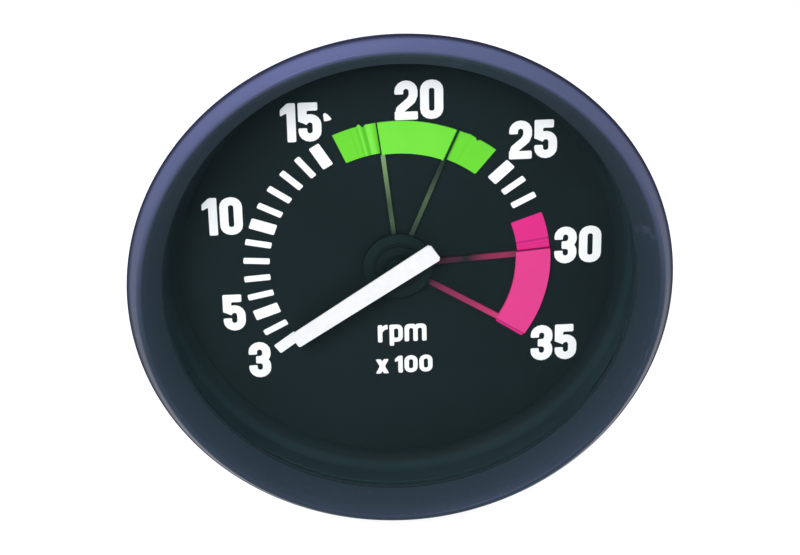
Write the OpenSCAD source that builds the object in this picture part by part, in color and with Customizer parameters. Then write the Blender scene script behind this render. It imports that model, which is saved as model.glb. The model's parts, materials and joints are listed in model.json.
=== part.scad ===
// Truck tachometer: a 24 volt electronic panel instrument for a 100 mm hole.
// Row frame: origin in the panel seat on the instrument's axis, +Y into the panel, +Z to 12 o'clock.
// Every piece is drawn with the instrument lying on its back, front upwards, and stood up by upright().
// Heights are counted from the panel seat towards the viewer, so the inside has negative heights.

/* [Bezel and glass] */
// Diameter of the barrel that goes through the panel
barrel_d = 100; // [98:0.5:106]
// How far the bezel's edge stands out past the barrel
bezel_overhang = 5; // [4.4:0.1:7]
// How far the bezel's lip reaches in past the barrel
lip_reach = 1.9; // [1.6:0.05:2.2]
// Height of the bezel's crest above its rear edge
bezel_rise = 3.6; // [3.2:0.1:4.4]
// How far the lip lies behind the bezel's rear edge
lip_drop = 1.65; // [1.3:0.05:2]
// Slope of the bezel's inner cone against the panel
cone_angle = 53; // [50:0.5:58]
// Radius of the rounded crest
crest_round = 0.8; // [0.5:0.05:1]
// Radius of the bezel's rear edge
edge_round = 0.3; // [0.2:0.05:0.5]
// Thickness of the bezel's sheet
bezel_sheet = 0.8; // [0.6:0.05:1]
// Height of the lip's flat foot
lip_foot = 0.5; // [0.3:0.05:0.8]
// Thickness of the panel gasket
gasket_t = 2; // [1.8:0.1:3]
// How far the gasket's edge lies inside the bezel's edge
gasket_inset = 1.6; // [1.2:0.1:2]
// Thickness of the glass seal
seal_t = 0.45; // [0.3:0.05:0.8]
// Width of seal that shows inside the lip
seal_show = 0.4; // [0.2:0.05:0.8]
// Thickness of the front glass
glass_t = 1.6; // [1.2:0.1:2]

/* [Case] */
// Outer corner radius of the pan
pan_corner = 3; // [2:0.1:3.4]
// Diameter of the narrow rear body
body_d = 80; // [76:0.5:84]
// Outer corner radius of the case's back
back_corner = 4; // [2:0.1:5]
// Thickness of the case's sheet
case_sheet = 0.8; // [0.6:0.05:1]

/* [Mask and dial] */
// How far the dial lies behind the bezel's rear edge
dial_drop = 11.7; // [11.2:0.1:12.2]
// Thickness of the dial plate
dial_t = 0.8; // [0.6:0.1:1]
// Thickness of the mask ring's wall
mask_wall = 1; // [0.8:0.1:1.4]
// Radius of the mask ring's cove, where it meets the dial
mask_cove = 3.3; // [2:0.1:3.4]
// Thickness of everything printed on the dial
print_t = 0.06; // [0.04:0.01:0.1]

/* [Scale] */
// Angle of the first mark of an even scale, counted anticlockwise from 3 o'clock
scale_start = 215; // [205:1:225]
// Whole sweep of an even scale
scale_sweep = 250; // [240:1:260]
// Extra angle of the first mark, where the needle moves less evenly
low_stretch = 1.3; // [0:0.1:2]
// First value of the scale
value_min = 3; // [0:1:5]
// Last value of the scale
value_max = 35; // [30:1:40]
// Distance from the mask ring in to the scale marks
scale_inset = 13; // [12.6:0.1:14]
// Length of the scale marks
tick_l = 5.4; // [4.5:0.1:6]
// Width of the marks that carry a number
tick_wide = 2.35; // [1.8:0.05:3]
// Width of the other marks
tick_narrow = 1.35; // [0.8:0.05:1.8]
// Width of the two printed bands
band_w = 6.7; // [5:0.1:7]
// How far the bands reach out past the marks
band_proud = 0.2; // [0:0.1:0.5]
// How much nearer to the middle the red band lies than the green one
red_inset = 0.6; // [0:0.05:1]

/* [Numbers] */
// Mean distance from the marks out to the middle of a figure
figure_out = 5.4; // [5.2:0.1:5.8]
// Height of a figure
figure_h = 8.4; // [6.5:0.1:8.5]
// Width of a figure
figure_w = 4.6; // [3.6:0.1:4.7]
// Stroke of a figure
figure_stroke = 1.75; // [1:0.05:1.8]
// Gap between two figures
figure_gap = 0.5; // [0.4:0.05:0.8]
// Height of the small letters
letter_h = 4.1; // [3:0.1:4.6]
// Width of a small letter
letter_w = 2.8; // [2.2:0.1:3]
// Stroke of a small letter
letter_stroke = 0.95; // [0.6:0.05:1.05]
// Height of the upper line of letters below the pivot
upper_line = 16.2; // [15:0.1:18]
// Height of the lower line of letters below the pivot
lower_line = 23.7; // [22.5:0.1:26]

/* [Sector markers] */
// Width of the green marker's sector
green_w = 7; // [5:0.1:7.2]
// Width of the red marker's sector
red_w = 7.25; // [5:0.05:7.4]
// How far each marker's sector reaches out past the band behind it
marker_proud = 0.1; // [0:0.05:0.3]
// Thickness of a marker
marker_t = 0.4; // [0.3:0.05:0.6]
// Width of the green marker's arms
green_arm_w = 0.9; // [0.6:0.1:1.4]
// Width of the red marker's arms
red_arm_w = 1.2; // [0.6:0.1:1.4]
// Angle of the green marker's middle
green_middle = 81.9; // [78:0.1:86]
// Angle that the green marker covers
green_span = 30.6; // [20:0.1:34]
// Angle of the red marker's middle
red_middle = -14.4; // [-18:0.1:-8]
// Angle that the red marker covers
red_span = 38.4; // [28:0.1:42]
// Outer radius of the green marker's ring
green_ring_r = 5.6; // [5.2:0.1:5.8]
// Outer radius of the red marker's ring
red_ring_r = 7.2; // [6.8:0.1:7.6]
// Radius of the bush that carries both markers
marker_bush_r = 3.5; // [3:0.1:3.8]

/* [Pointer] */
// Angle of the pointer at rest, just past the first mark
pointer_rest = 213.4; // [208:0.1:216]
// Angle that the pointer can swing through
pointer_travel = 252; // [245:1:256]
// Distance from the pointer's tip to the scale marks
pointer_gap = 0.1; // [-2:0.1:3]
// Length of the pointer's tail
pointer_tail = 8.9; // [6:0.1:11]
// Width of the pointer at its tail
pointer_w_tail = 4.2; // [3.2:0.1:5]
// Width of the pointer at its tip
pointer_w_tip = 3.45; // [1.5:0.05:4]
// Thickness of the pointer's blade
pointer_t = 0.4; // [0.3:0.1:0.8]
// Height of the pointer's face above the dial
pointer_height = 5.05; // [4.9:0.05:5.4]
// Radius of the pointer's hub
pointer_hub_r = 2.05; // [1.6:0.05:3]

/* [Movement] */
// Thickness of the movement frame, which the dial lies on
frame_t = 2.2; // [2:0.1:3]
// Radius of the pointer shaft
shaft_r = 0.5; // [0.4:0.05:0.6]
// Radius of the magnet on the shaft
magnet_r = 5.6; // [4.5:0.1:6]
// Thickness of the magnet
magnet_t = 4.4; // [3:0.1:5]
// Half width of the square bobbin
bobbin_half = 9; // [8.6:0.1:9.4]
// Thickness of the bobbin's floors before and behind the magnet
bobbin_floor = 1.7; // [1:0.1:2.5]
// Thickness of each winding
winding_t = 1.2; // [0.8:0.1:1.3]
// Width of each half of a winding
winding_w = 5; // [4:0.1:5.2]
// Gap between the winding's edge and the axis
winding_off = 2.1; // [2:0.1:2.4]
// Thickness of the shield can's sheet
can_wall = 0.8; // [0.5:0.1:1]
// Distance from the bobbin's corners to the shield can's outside
can_reach = 1.07; // [0.9:0.01:2]

/* [Circuit board] */
// Gap between the board's edge and the case's side
board_edge = 2.7; // [2:0.1:4]
// Thickness of the circuit board
board_t = 1.6; // [1.2:0.1:2]
// Air between the shield can and the board
can_air = 0.6; // [0.4:0.1:2]
// Room between the board and the case's back
board_room = 3.4; // [3.2:0.1:5]
// Distance of the pillars from the board's edge
pillar_edge = 5.5; // [4.5:0.1:6]
// Distance across the flats of a pillar
pillar_flats = 6; // [5:0.1:7]
// Radius of the trimmer's turning part
trimmer_r = 2.3; // [1.8:0.1:2.6]
// Distance of the trimmer above the axis
trimmer_y = 19; // [18:0.1:20]

/* [Rear fittings] */
// Distance from one mounting stud to the other
stud_spacing = 48; // [44:0.5:52]
// Radius of a mounting stud
stud_r = 2.5; // [2:0.1:3]
// Length of a mounting stud behind the case
stud_l = 18; // [12:0.5:25]
// Radius of the stud's tail, which goes through the case
stud_tail_r = 2; // [1.5:0.1:2.4]
// Sideways distance of the lamps from the axis
lamp_x = 17; // [16.8:0.1:18]
// Distance from the lamps' row up to the case's side
lamp_inset = 20; // [19:0.1:21]
// Radius of the hole for a lamp holder
lamp_hole_r = 6.05; // [5.6:0.05:6.3]
// Turn that frees a lamp holder
lamp_turn = 60; // [45:1:75]
// Distance from the terminals' row down to the case's side
terminal_inset = 14.5; // [13.5:0.1:15]
// Width of a terminal blade
blade_w = 6.3; // [4.8:0.1:6.4]
// Thickness of a terminal blade
blade_t = 0.8; // [0.5:0.1:1]
// Length of a terminal blade outside its block
blade_l = 10; // [8:0.5:12]
// Distance from one terminal blade to the next
blade_pitch = 9; // [8.6:0.1:9.4]

/* [Hidden] */
$fn = 96;
// Clearances: running is radial on turning pieces, snug is between pieces that are fixed together
running = 0.06;
snug = 0.02;
loose = 0.2;
// Free space beside a part that turns past another
play = 0.08;

// Radii of the front
barrel_r = barrel_d / 2;
bezel_r = barrel_r + bezel_overhang;
lip_r = barrel_r - lip_reach;
pan_in_r = barrel_r - case_sheet;
body_r = body_d / 2;
body_in_r = body_r - case_sheet;

// Heights of the front, from the crest down to the pan's floor
bezel_back_z = gasket_t;
crest_z = bezel_back_z + bezel_rise;
lip_z = bezel_back_z - lip_drop;
lip_foot_z = lip_z - lip_foot;
glass_top_z = lip_foot_z - seal_t;
glass_back_z = glass_top_z - glass_t;
dial_z = bezel_back_z - dial_drop;
dial_back_z = dial_z - dial_t;
frame_back_z = dial_back_z - frame_t;
pan_floor_z = frame_back_z;
pan_back_z = pan_floor_z - case_sheet;

// The mask ring stands inside the pan, and the scale is laid out inwards from its foot
mask_out_r = pan_in_r - 0.1;
mask_in_r = mask_out_r - mask_wall;
mask_foot_r = mask_in_r - mask_cove;
tick_out = mask_foot_r - scale_inset;
tick_in = tick_out - tick_l;
band_out = tick_out + band_proud;
red_band_out = band_out - red_inset;
pointer_len = tick_in - pointer_gap;
figure_ring_r = tick_out + figure_out;

// The bezel's inner cone: radius of its back face at a height
cone_run = 1 / tan(cone_angle);
crest_r = lip_r + ((crest_z - crest_round - lip_z) * cos(cone_angle) + crest_round) / sin(cone_angle);
function cone_back(z) = lip_r + cone_run * (z - lip_z) + bezel_sheet / sin(cone_angle);
// The case's mouth lies against the cone: its inner and outer face, and the height of a radius on each
mouth_gap = 0.1;
function mouth_in(z) = cone_back(z) + mouth_gap;
function mouth_out(z) = mouth_in(z) + case_sheet / sin(cone_angle);
mouth_in_z = lip_z + (pan_in_r - mouth_in(lip_z)) / cone_run;
mouth_out_z = lip_z + (barrel_r - mouth_out(lip_z)) / cone_run;
// The crimp: the bezel's turned-in rear edge under the case's flange
flange_z = bezel_back_z + bezel_sheet;
flange_top_z = flange_z + case_sheet;
crimp_in_r = mouth_out(flange_z) + 0.15;
// The outer cone touches the crest's round and the rear edge's round; its angle is that of its normal
edge_back = [bezel_r - edge_round - crest_r, bezel_back_z + edge_round - crest_z + crest_round];
outer_angle = atan2(edge_back[1], edge_back[0]) + acos((crest_round - edge_round) / norm(edge_back));
function outer_back(z) = crest_r
    + (crest_round - bezel_sheet - (z - crest_z + crest_round) * sin(outer_angle)) / cos(outer_angle);
flange_r = outer_back(flange_top_z) - loose;

// The movement hangs from the movement frame: flange, outer winding, inner winding and coil box
frame_r = barrel_r - pan_corner - 0.4;
flange_plate_t = 1.5;
coil_gap = 0.1;
magnet_air = 0.7;
bobbin_h = magnet_t + 2 * (magnet_air + bobbin_floor);
plate_back_z = frame_back_z - flange_plate_t;
outer_front_z = plate_back_z - coil_gap;
inner_front_z = outer_front_z - winding_t - coil_gap;
box_front_z = inner_front_z - winding_t - coil_gap;
box_mid_z = box_front_z - bobbin_h / 2;
box_back_z = box_front_z - bobbin_h;
inner_back_z = box_back_z - coil_gap;
outer_back_z = inner_back_z - winding_t - coil_gap;
boss_end_z = outer_back_z - winding_t - coil_gap;
can_back_z = boss_end_z - can_wall;
can_r = sqrt(2) * bobbin_half + can_reach;
frame_hole_r = can_r - 1.3;
ear_x = can_r + 3.7;
ear_half = 4;
boss_r = 1.9;
bearing_r = 1.45;
bearing_l = 2;
shaft_end_z = boss_end_z + 0.7;
pin_off = bobbin_half - 0.8;
pin_r = 0.4;

// The board lies behind the shield can, and the case's back behind the board
board_z = can_back_z - can_air;
board_back_z = board_z - board_t;
back_in_z = board_back_z - board_room;
back_z = back_in_z - case_sheet;
board_r = body_in_r - board_edge;
pillar_place = board_r - pillar_edge;

// Screws through the movement frame and the board
screw_r = 1.4;
screw_head_r = 2.6;
screw_head_t = 1.1;
screw_reach = 5;
countersink_r = screw_head_r + 0.1;
countersink_t = screw_head_t + 0.1;
slot_w = 0.6;
slot_t = 0.6;

// The markers' stack on its bush, from the dial towards the viewer
washer_t = 0.12;
ring_bore_r = marker_bush_r + running;
green_z = dial_z + washer_t + snug;
red_ring_z = green_z + marker_t + 0.04;
spring_z = red_ring_z + marker_t + snug;
spring_t = 0.2;
clip_z = spring_z + spring_t + snug;
clip_t = 0.5;
bush_top_z = clip_z + clip_t;
bush_collar_t = 0.4;
pointer_top_z = dial_z + pointer_height;
pointer_back_z = pointer_top_z - pointer_t;
hub_back_z = bush_top_z + 0.25;
shaft_top_z = pointer_back_z - 0.1;

// The stop arm turns in front of the movement's flange, opposite to the pointer
stop_arm_z = frame_back_z + 0.75;
stop_arm_t = 0.7;
stop_arm_w = 1.6;
stop_in = 6.5;
stop_out = 9;
stop_margin = asin(stop_arm_w / 2 / stop_in) + 0.4;

// Terminals
terminal_y = body_r - terminal_inset;
block_t = 3;
block_back_z = back_z - block_t;
block_d = 10;
block_key_w = 2 * blade_pitch + blade_w + 2.3;
block_key_d = 5.5;
blade_end_z = block_back_z - blade_l;
blade_start_z = board_z + 0.6;
blade_bevel = 1;
latch_r = 0.9;
latch_place = 3.4;
rivet_r = 1.1;
rivet_head_r = 1.6;
rivet_gap = 0.3;
rivet_x = block_key_w / 2 + rivet_head_r + rivet_gap;
block_end = 1.8;
block_w = 2 * (rivet_x + block_end);
rivet_head_t = 0.7;

// Dial feet
feet_x = 30;
feet_y = 8;
foot_r = 1;
foot_l = 1.7;

// Parts on the board: the chip stands between the shield can and the blades
chip_y = -(can_r + terminal_y - blade_t / 2) / 2;
chip_l = 19;
chip_w = 6.4;
chip_t = 3.6;
chip_lift = 0.5;
leg_pitch = 2.54;
leg_w = 0.6;
leg_t = 0.5;
large_can_r = 5;
large_can_h = 13;
small_can_r = 3.2;
small_can_h = 8;
film_w = 12;
film_d = 6;
film_h = 9;
part_gap = 1.2;
resistor_r = 1.2;
resistor_l = 6.5;
resistor_leg_r = 0.3;
resistor_leg_x = 4.2;
resistor_step = 4.4;
resistor_x = chip_l / 2 + 5.5;

// Trimmer and the plug in the hole behind it
trimmer_side = 7;
trimmer_h = 2.6;
rotor_z = board_back_z - 1.2;
rotor_end_z = board_back_z - trimmer_h - 0.3;
trimmer_hole_r = 3.5;
plug_head_t = 1.4;

// Lamps
lamp_y = body_r - lamp_inset;
lamp_flange_r = 8.5;
lamp_flange_t = 2;
lamp_lug_r = 7.4;
lamp_lug_w = 4;
lamp_lug_t = 0.8;
lamp_tube_r = 4.9;
lamp_tube_l = 9;
lamp_bore_r = 3.3;
lamp_cutout_r = 11;
lamp_window_r = 7;
lamp_neck_r = lamp_hole_r - play;
lamp_seat_z = back_z - play;
lug_z = back_in_z + play;
grip_w = 13;
grip_d = 4.6;
grip_l = 5;
grip_end_z = lamp_seat_z - lamp_flange_t - grip_l;
contact_x = 3.6;
contact_w = 2.8;
contact_t = 0.8;
contact_l = 6.5;
bulb_r = 4;
bulb_l = 4;

// Studs: a hexagonal collar outside, and a nut on the tail inside
stud_collar_flats = 8;
stud_collar_t = 4;
stud_chamfer = 0.5;
nut_t = 2.2;
nut_flats = 7;

// Figures: value, shift away from the marks as a share of the figure's height, and lead in degrees
NUMBERS = [
    ["3", 3, -0.12, -0.6],
    ["5", 5, -0.2, -3.7],
    ["10", 10, 0.05, 0.3],
    ["15", 15, 0.04, -1.1],
    ["20", 20, -0.065, 0.4],
    ["25", 25, 0.155, 1],
    ["30", 30, 0.01, 0.2],
    ["35", 35, 0.12, 3.4]
];
// Plain marks lie outside these two bands of values
GREEN_BAND = [16, 24];
RED_BAND = [28, 35];
// Pillar angles and lamp sides
PILLARS = [90, 210, 330];
SIDES = [-1, 1];

// General shapes

// Stands the instrument up: its front then looks along -Y
module upright() {
    rotate([90, 0, 0])
        children();
}

module at_pillars() {
    for (a = PILLARS)
        rotate([0, 0, a])
            translate([pillar_place, 0, 0])
                children();
}

module at_studs() {
    for (k = SIDES)
        translate([k * stud_spacing / 2, 0, 0])
            children();
}

module at_lamp(side) {
    translate([side * lamp_x, lamp_y, 0])
        children();
}

// Points along an arc, or along an ellipse where rx and ry differ
function arc(middle, rx, ry, from, to, steps = 8) = [
    for (i = [0:steps])
        let (a = from + (to - from) * i / steps)
            middle + [rx * cos(a), ry * sin(a)]
];

// A disc or post between two heights
module disc(r, z0, z1) {
    translate([0, 0, min(z0, z1)])
        cylinder(r = r, h = abs(z1 - z0));
}

// A flat ring between two heights
module ring(r_out, r_in, z0, z1) {
    difference() {
        disc(r_out, z0, z1);
        disc(r_in, min(z0, z1) - 1, max(z0, z1) + 1);
    }
}

// A block centred in the dial's plane, between two heights
module block(w, d, z0, z1) {
    translate([-w / 2, -d / 2, min(z0, z1)])
        cube([w, d, abs(z1 - z0)]);
}

// A flat drawing given a thickness
module plate(z0, t) {
    translate([0, 0, z0])
        linear_extrude(t)
            children();
}

// Part of a ring in the dial's plane
module sector(r_in, r_out, from, to, steps = 16) {
    polygon(concat(
        arc([0, 0], r_out, r_out, from, to, steps),
        arc([0, 0], r_in, r_in, to, from, steps)
    ));
}

// A hexagonal post, measured across its flats
module hexagon(flats, z0, z1) {
    translate([0, 0, min(z0, z1)])
        cylinder(r = flats / 2 / cos(30), h = abs(z1 - z0), $fn = 6);
}

// Angle of a value: an even scale, stretched over its first three values
stretch_over = 3;
function value_angle(v) = scale_start - scale_sweep * (v - value_min) / (value_max - value_min)
    + low_stretch * pow(max(0, 1 - (v - value_min) / stretch_over), 2);

// Figures and letters, drawn as strokes

// Points beside a path, at half the stroke's width
function unit_normal(a, b) = [a[1] - b[1], b[0] - a[0]] / norm(b - a);
function beside(path, off) = [
    for (i = [0:len(path) - 1])
        let (
            before = unit_normal(path[max(i - 1, 0)], path[max(i, 1)]),
            after = unit_normal(path[min(i, len(path) - 2)], path[min(i + 1, len(path) - 1)])
        )
            path[i] + off * (before + after) / (1 + before * after)
];
function reversed(list) = [for (i = [len(list) - 1:-1:0]) list[i]];

// One stroke of even width along a path
module stroke(path, width) {
    polygon(concat(beside(path, width / 2), reversed(beside(path, -width / 2))));
}

// Outline of a rectangle with round corners, centred
function rounded(w, h, r) = concat(
    arc([w / 2 - r, h / 2 - r], r, r, 0, 90, 4),
    arc([r - w / 2, h / 2 - r], r, r, 90, 180, 4),
    arc([r - w / 2, r - h / 2], r, r, 180, 270, 4),
    arc([w / 2 - r, r - h / 2], r, r, 270, 360, 4)
);

module figure_0(w, h, s) {
    outer = rounded(w, h, w / 2 - 0.1 * s);
    inner = rounded(w - 2 * s, h - 2 * s, (w - 2 * s) / 2 - 0.05 * s);
    difference() {
        polygon(outer);
        polygon(inner);
    }
}

module figure_1(w, h, s) {
    lean = 0.75 * s;
    left = -s / 2;
    translate([lean / 2, 0])
        polygon([
            [left, -h / 2], [left + s, -h / 2], [left + s, h / 2], [left + s * 0.1, h / 2],
            [left - lean, h / 2 - 0.8 * s], [left - lean, h / 2 - 1.6 * s], [left, h / 2 - 1.2 * s]
        ]);
}

module figure_2(w, h, s) {
    r = (w - s) / 2;
    top = h / 2 - s / 2 - r;
    stroke(concat(
        [[-r, top - 0.35 * s]],
        arc([0, top], r, r, 180, 0),
        [[r, top - 0.5 * s], [r * 0.72, top - 1.1 * s], [-r * 0.8, s - h / 2 + 0.3 * s], [-r, s / 2 - h / 2]]
    ), s);
    translate([-w / 2, -h / 2])
        square([w, s]);
}

module figure_3(w, h, s) {
    r = (w - s) / 2;
    top = h / 2 - s / 2 - r;
    stroke(concat(
        [[-r, top - 0.35 * s]],
        arc([0, top], r, r, 180, 0),
        arc([0, r], r, r, 0, -90),
        [[-0.35 * w / 2, 0]]
    ), s);
    stroke(concat(
        [[-0.35 * w / 2, 0]],
        arc([0, -r], r, r, 90, 0),
        arc([0, -top], r, r, 0, -180),
        [[-r, 0.35 * s - top]]
    ), s);
}

module figure_5(w, h, s) {
    r = (w - s) / 2;
    top = h / 2 - s / 2;
    belly = 0.1 * h - r;
    stroke([[w / 2 - 0.4 * s, top], [-r, top], [-r, 0.02 * h]], s);
    stroke(concat(
        arc([0, belly], r, r, 165, 0),
        arc([0, r - top], r, r, 0, -180),
        [[-r, r - top + 0.35 * s]]
    ), s);
}

module letter_r(w, h, s) {
    left = -w / 2;
    polygon([
        [left, -h / 2], [left + s, -h / 2], [left + s, h / 2 - 1.75 * s], [w / 2 - 0.5 * s, h / 2 - 1.1 * s],
        [w / 2, h / 2 - 1.1 * s], [w / 2, h / 2], [w / 2 - 0.6 * s, h / 2], [left + s, h / 2 - 0.45 * s],
        [left + s, h / 2], [left, h / 2]
    ]);
}

module letter_p(w, h, s) {
    difference() {
        polygon(rounded(w, h, 0.42 * w));
        polygon(rounded(w - 2 * s, h - 2 * s, 0.4 * (w - 2 * s)));
    }
    drop = 0.22 * h;
    translate([-w / 2, -h / 2 - drop])
        square([s, h + drop]);
}

module letter_m(w, h, s) {
    slot = (w - 3 * s) / 2;
    slot_h = h - s;
    top = slot / 2;
    difference() {
        polygon(concat([[-w / 2, -h / 2], [w / 2, -h / 2]], arc([w / 2 - s, h / 2 - s], s, s, 0, 90, 4),
            [[0.35 * s, h / 2], [0, h / 2 - 0.3 * s], [-0.35 * s, h / 2]],
            arc([s - w / 2, h / 2 - s], s, s, 90, 180, 4)));
        for (k = [-1, 1])
            translate([k * (slot + s) / 2, -h / 2 - 1])
                polygon(concat([[-slot / 2, 0], [slot / 2, 0]],
                    arc([0, slot_h + 1 - top], top, top, 0, 180, 6)));
    }
}

module letter_x(w, h, s) {
    for (k = [-1, 1])
        polygon([
            [k * (-w / 2), -h / 2], [k * (-w / 2 + 1.15 * s), -h / 2],
            [k * w / 2, h / 2], [k * (w / 2 - 1.15 * s), h / 2]
        ]);
}

function sign_w(c, w, s) =
    c == "1" ? 1.75 * s : c == "m" ? 1.65 * w : c == "r" ? 0.75 * w : c == " " ? 0.2 * w : w;
function signs_w(words, w, s, gap, i = 0) = i >= len(words) ? -gap : sign_w(words[i], w, s) + gap
    + signs_w(words, w, s, gap, i + 1);
function before_w(words, w, s, gap, i) = i <= 0 ? 0 : sign_w(words[i - 1], w, s) + gap
    + before_w(words, w, s, gap, i - 1);

module sign(c, w, h, s) {
    if (c == "0") figure_0(w, h, s);
    if (c == "1") figure_1(w, h, s);
    if (c == "2") figure_2(w, h, s);
    if (c == "3") figure_3(w, h, s);
    if (c == "5") figure_5(w, h, s);
    if (c == "r") letter_r(sign_w(c, w, s), h, s);
    if (c == "p") letter_p(w, h, s);
    if (c == "m") letter_m(sign_w(c, w, s), h, s);
    if (c == "x") translate([0, -0.08 * h]) letter_x(w, 0.84 * h, s);
}

// Words in one line, centred
module words_line(words, w, h, s, gap) {
    start = -signs_w(words, w, s, gap) / 2;
    for (i = [0:len(words) - 1])
        translate([start + before_w(words, w, s, gap, i) + sign_w(words[i], w, s) / 2, 0])
            sign(words[i], w, h, s);
}

// Front

// Pressed ring: outer cone, round crest, inner cone with its lip, and a rear edge crimped under the flange
module bezel_ring() {
    cone_top_z = crest_z - crest_round - 0.3;
    edge_mid = [bezel_r - edge_round, bezel_back_z + edge_round];
    skin = concat(
        [[crimp_in_r, bezel_back_z]],
        arc(edge_mid, edge_round, edge_round, -90, outer_angle, 8),
        arc([crest_r, crest_z - crest_round], crest_round, crest_round, outer_angle, 90 + cone_angle, 14),
        [[lip_r, lip_z], [lip_r, lip_foot_z], [cone_back(lip_foot_z), lip_foot_z]],
        [[cone_back(cone_top_z) + 0.05, cone_top_z]],
        [[outer_back(cone_top_z), cone_top_z], [outer_back(flange_z), flange_z], [crimp_in_r, flange_z]]
    );
    color([0.13, 0.15, 0.2])
        rotate_extrude()
            polygon(skin);
}

module front_glass() {
    color([0.75, 0.85, 0.9, 0.3])
        disc(pan_in_r - loose, glass_back_z, glass_top_z);
}

module glass_seal() {
    color([0.05, 0.05, 0.06])
        ring(pan_in_r - loose, lip_r - seal_show, glass_top_z, lip_foot_z);
}

// Deep black spacer whose inside curves into the dial
module mask_ring() {
    edge_t = 0.25;
    side = concat(
        [[mask_out_r, dial_z], [mask_out_r, glass_back_z], [mask_in_r, glass_back_z]],
        arc([mask_foot_r, dial_z + mask_cove + edge_t], mask_cove, mask_cove, 0, -90, 12),
        [[mask_foot_r, dial_z]]
    );
    color([0.06, 0.08, 0.09])
        rotate_extrude()
            polygon(side);
}

// Deep-drawn steel case: flared mouth with a flange, wide pan, narrow rear body
module case_wall() {
    pan_in_corner = pan_corner - case_sheet;
    back_in_corner = back_corner - case_sheet;
    rotate_extrude()
        polygon(concat(
            [[flange_r, flange_z], [flange_r, flange_top_z], [mouth_in(flange_top_z), flange_top_z]],
            [[pan_in_r, mouth_in_z]],
            arc([pan_in_r - pan_in_corner, pan_floor_z + pan_in_corner],
                pan_in_corner, pan_in_corner, 0, -90, 5),
            [[body_in_r, pan_floor_z]],
            arc([body_in_r - back_in_corner, back_in_z + back_in_corner],
                back_in_corner, back_in_corner, 0, -90, 5),
            [[0, back_in_z], [0, back_z]],
            arc([body_r - back_corner, back_z + back_corner], back_corner, back_corner, -90, 0, 6),
            [[body_r, pan_back_z]],
            arc([barrel_r - pan_corner, pan_back_z + pan_corner], pan_corner, pan_corner, -90, 0, 6),
            [[barrel_r, mouth_out_z], [mouth_out(flange_z), flange_z]]
        ));
}

module case_shell() {
    below = back_z - 1;
    above = back_in_z + 1;
    color([0.62, 0.64, 0.66])
        difference() {
            case_wall();
            for (k = SIDES) {
                translate([k * stud_spacing / 2, 0, 0])
                    disc(stud_tail_r + snug, below, above);
                translate([k * rivet_x, -terminal_y, 0])
                    disc(rivet_r + snug, below, above);
                at_lamp(k) {
                    disc(lamp_hole_r, below, above);
                    rotate([0, 0, -lamp_turn])
                        block(2 * (lamp_lug_r + 0.3), lamp_lug_w + 0.6, below, above);
                }
            }
            translate([0, trimmer_y, 0])
                disc(trimmer_hole_r, below, above);
            translate([0, -terminal_y, 0])
                block(block_key_w + 0.1, block_key_d + 0.1, below, above);
        }
}

module panel_gasket() {
    color([0.08, 0.08, 0.09])
        ring(bezel_r - gasket_inset, mouth_out(bezel_back_z) + loose, 0, bezel_back_z);
}

// Dial

module dial_plate() {
    color([0.1, 0.15, 0.17])
        ring(pan_in_r - loose, marker_bush_r + snug, dial_back_z, dial_z);
}

module dial_feet() {
    color([0.75, 0.62, 0.3])
        for (k = SIDES)
            translate([k * feet_x, feet_y, 0])
                disc(foot_r, dial_back_z, dial_back_z - foot_l);
}

module scale_marks() {
    color([0.97, 0.98, 1])
        for (v = [value_min:value_max]) {
            in_green = v >= GREEN_BAND[0] && v <= GREEN_BAND[1];
            in_red = v >= RED_BAND[0] && v <= RED_BAND[1];
            numbered = v == value_min || v % 5 == 0;
            width = numbered ? tick_wide : tick_narrow;
            if (!in_green && !in_red)
                rotate([0, 0, value_angle(v)])
                    translate([tick_in, -width / 2, dial_z])
                        cube([tick_l, width, print_t]);
        }
}

module green_band() {
    color([0.44, 0.88, 0.27])
        plate(dial_z, print_t)
            sector(band_out - band_w, band_out, value_angle(GREEN_BAND[1]), value_angle(GREEN_BAND[0]), 24);
}

module red_band() {
    color([0.89, 0.21, 0.6])
        plate(dial_z, print_t)
            sector(red_band_out - band_w, red_band_out,
                value_angle(RED_BAND[1]), value_angle(RED_BAND[0]), 24);
}

module dial_numbers() {
    color([0.97, 0.98, 1])
        for (n = NUMBERS) {
            a = value_angle(n[1]) + n[3];
            r = figure_ring_r + n[2] * figure_h;
            translate([r * cos(a), r * sin(a), dial_z])
                linear_extrude(print_t)
                    words_line(n[0], figure_w, figure_h, figure_stroke, figure_gap);
        }
}

module dial_lettering() {
    letter_gap = 0.35;
    color([0.95, 0.96, 1]) {
        translate([0.6, -upper_line, dial_z])
            linear_extrude(print_t)
                words_line("rpm", letter_w, letter_h, letter_stroke, letter_gap);
        translate([0.9, -lower_line, dial_z])
            linear_extrude(print_t)
                words_line("x 100", letter_w, letter_h, letter_stroke, letter_gap);
    }
}

// Sector markers

// Riveted in the dial, it carries both markers and lets the pointer shaft through
module marker_bush() {
    color([0.15, 0.15, 0.16])
        difference() {
            union() {
                disc(marker_bush_r, dial_back_z - bush_collar_t, clip_z);
                disc(marker_bush_r + 1, dial_back_z - bush_collar_t, dial_back_z);
                disc(marker_bush_r - 0.6, clip_z - 1, bush_top_z);
            }
            disc(shaft_r + 0.6, dial_back_z - 2, bush_top_z + 1);
        }
}

module marker_washer() {
    color([0.9, 0.9, 0.85])
        ring(green_ring_r, ring_bore_r, dial_z, dial_z + washer_t);
}

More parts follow.
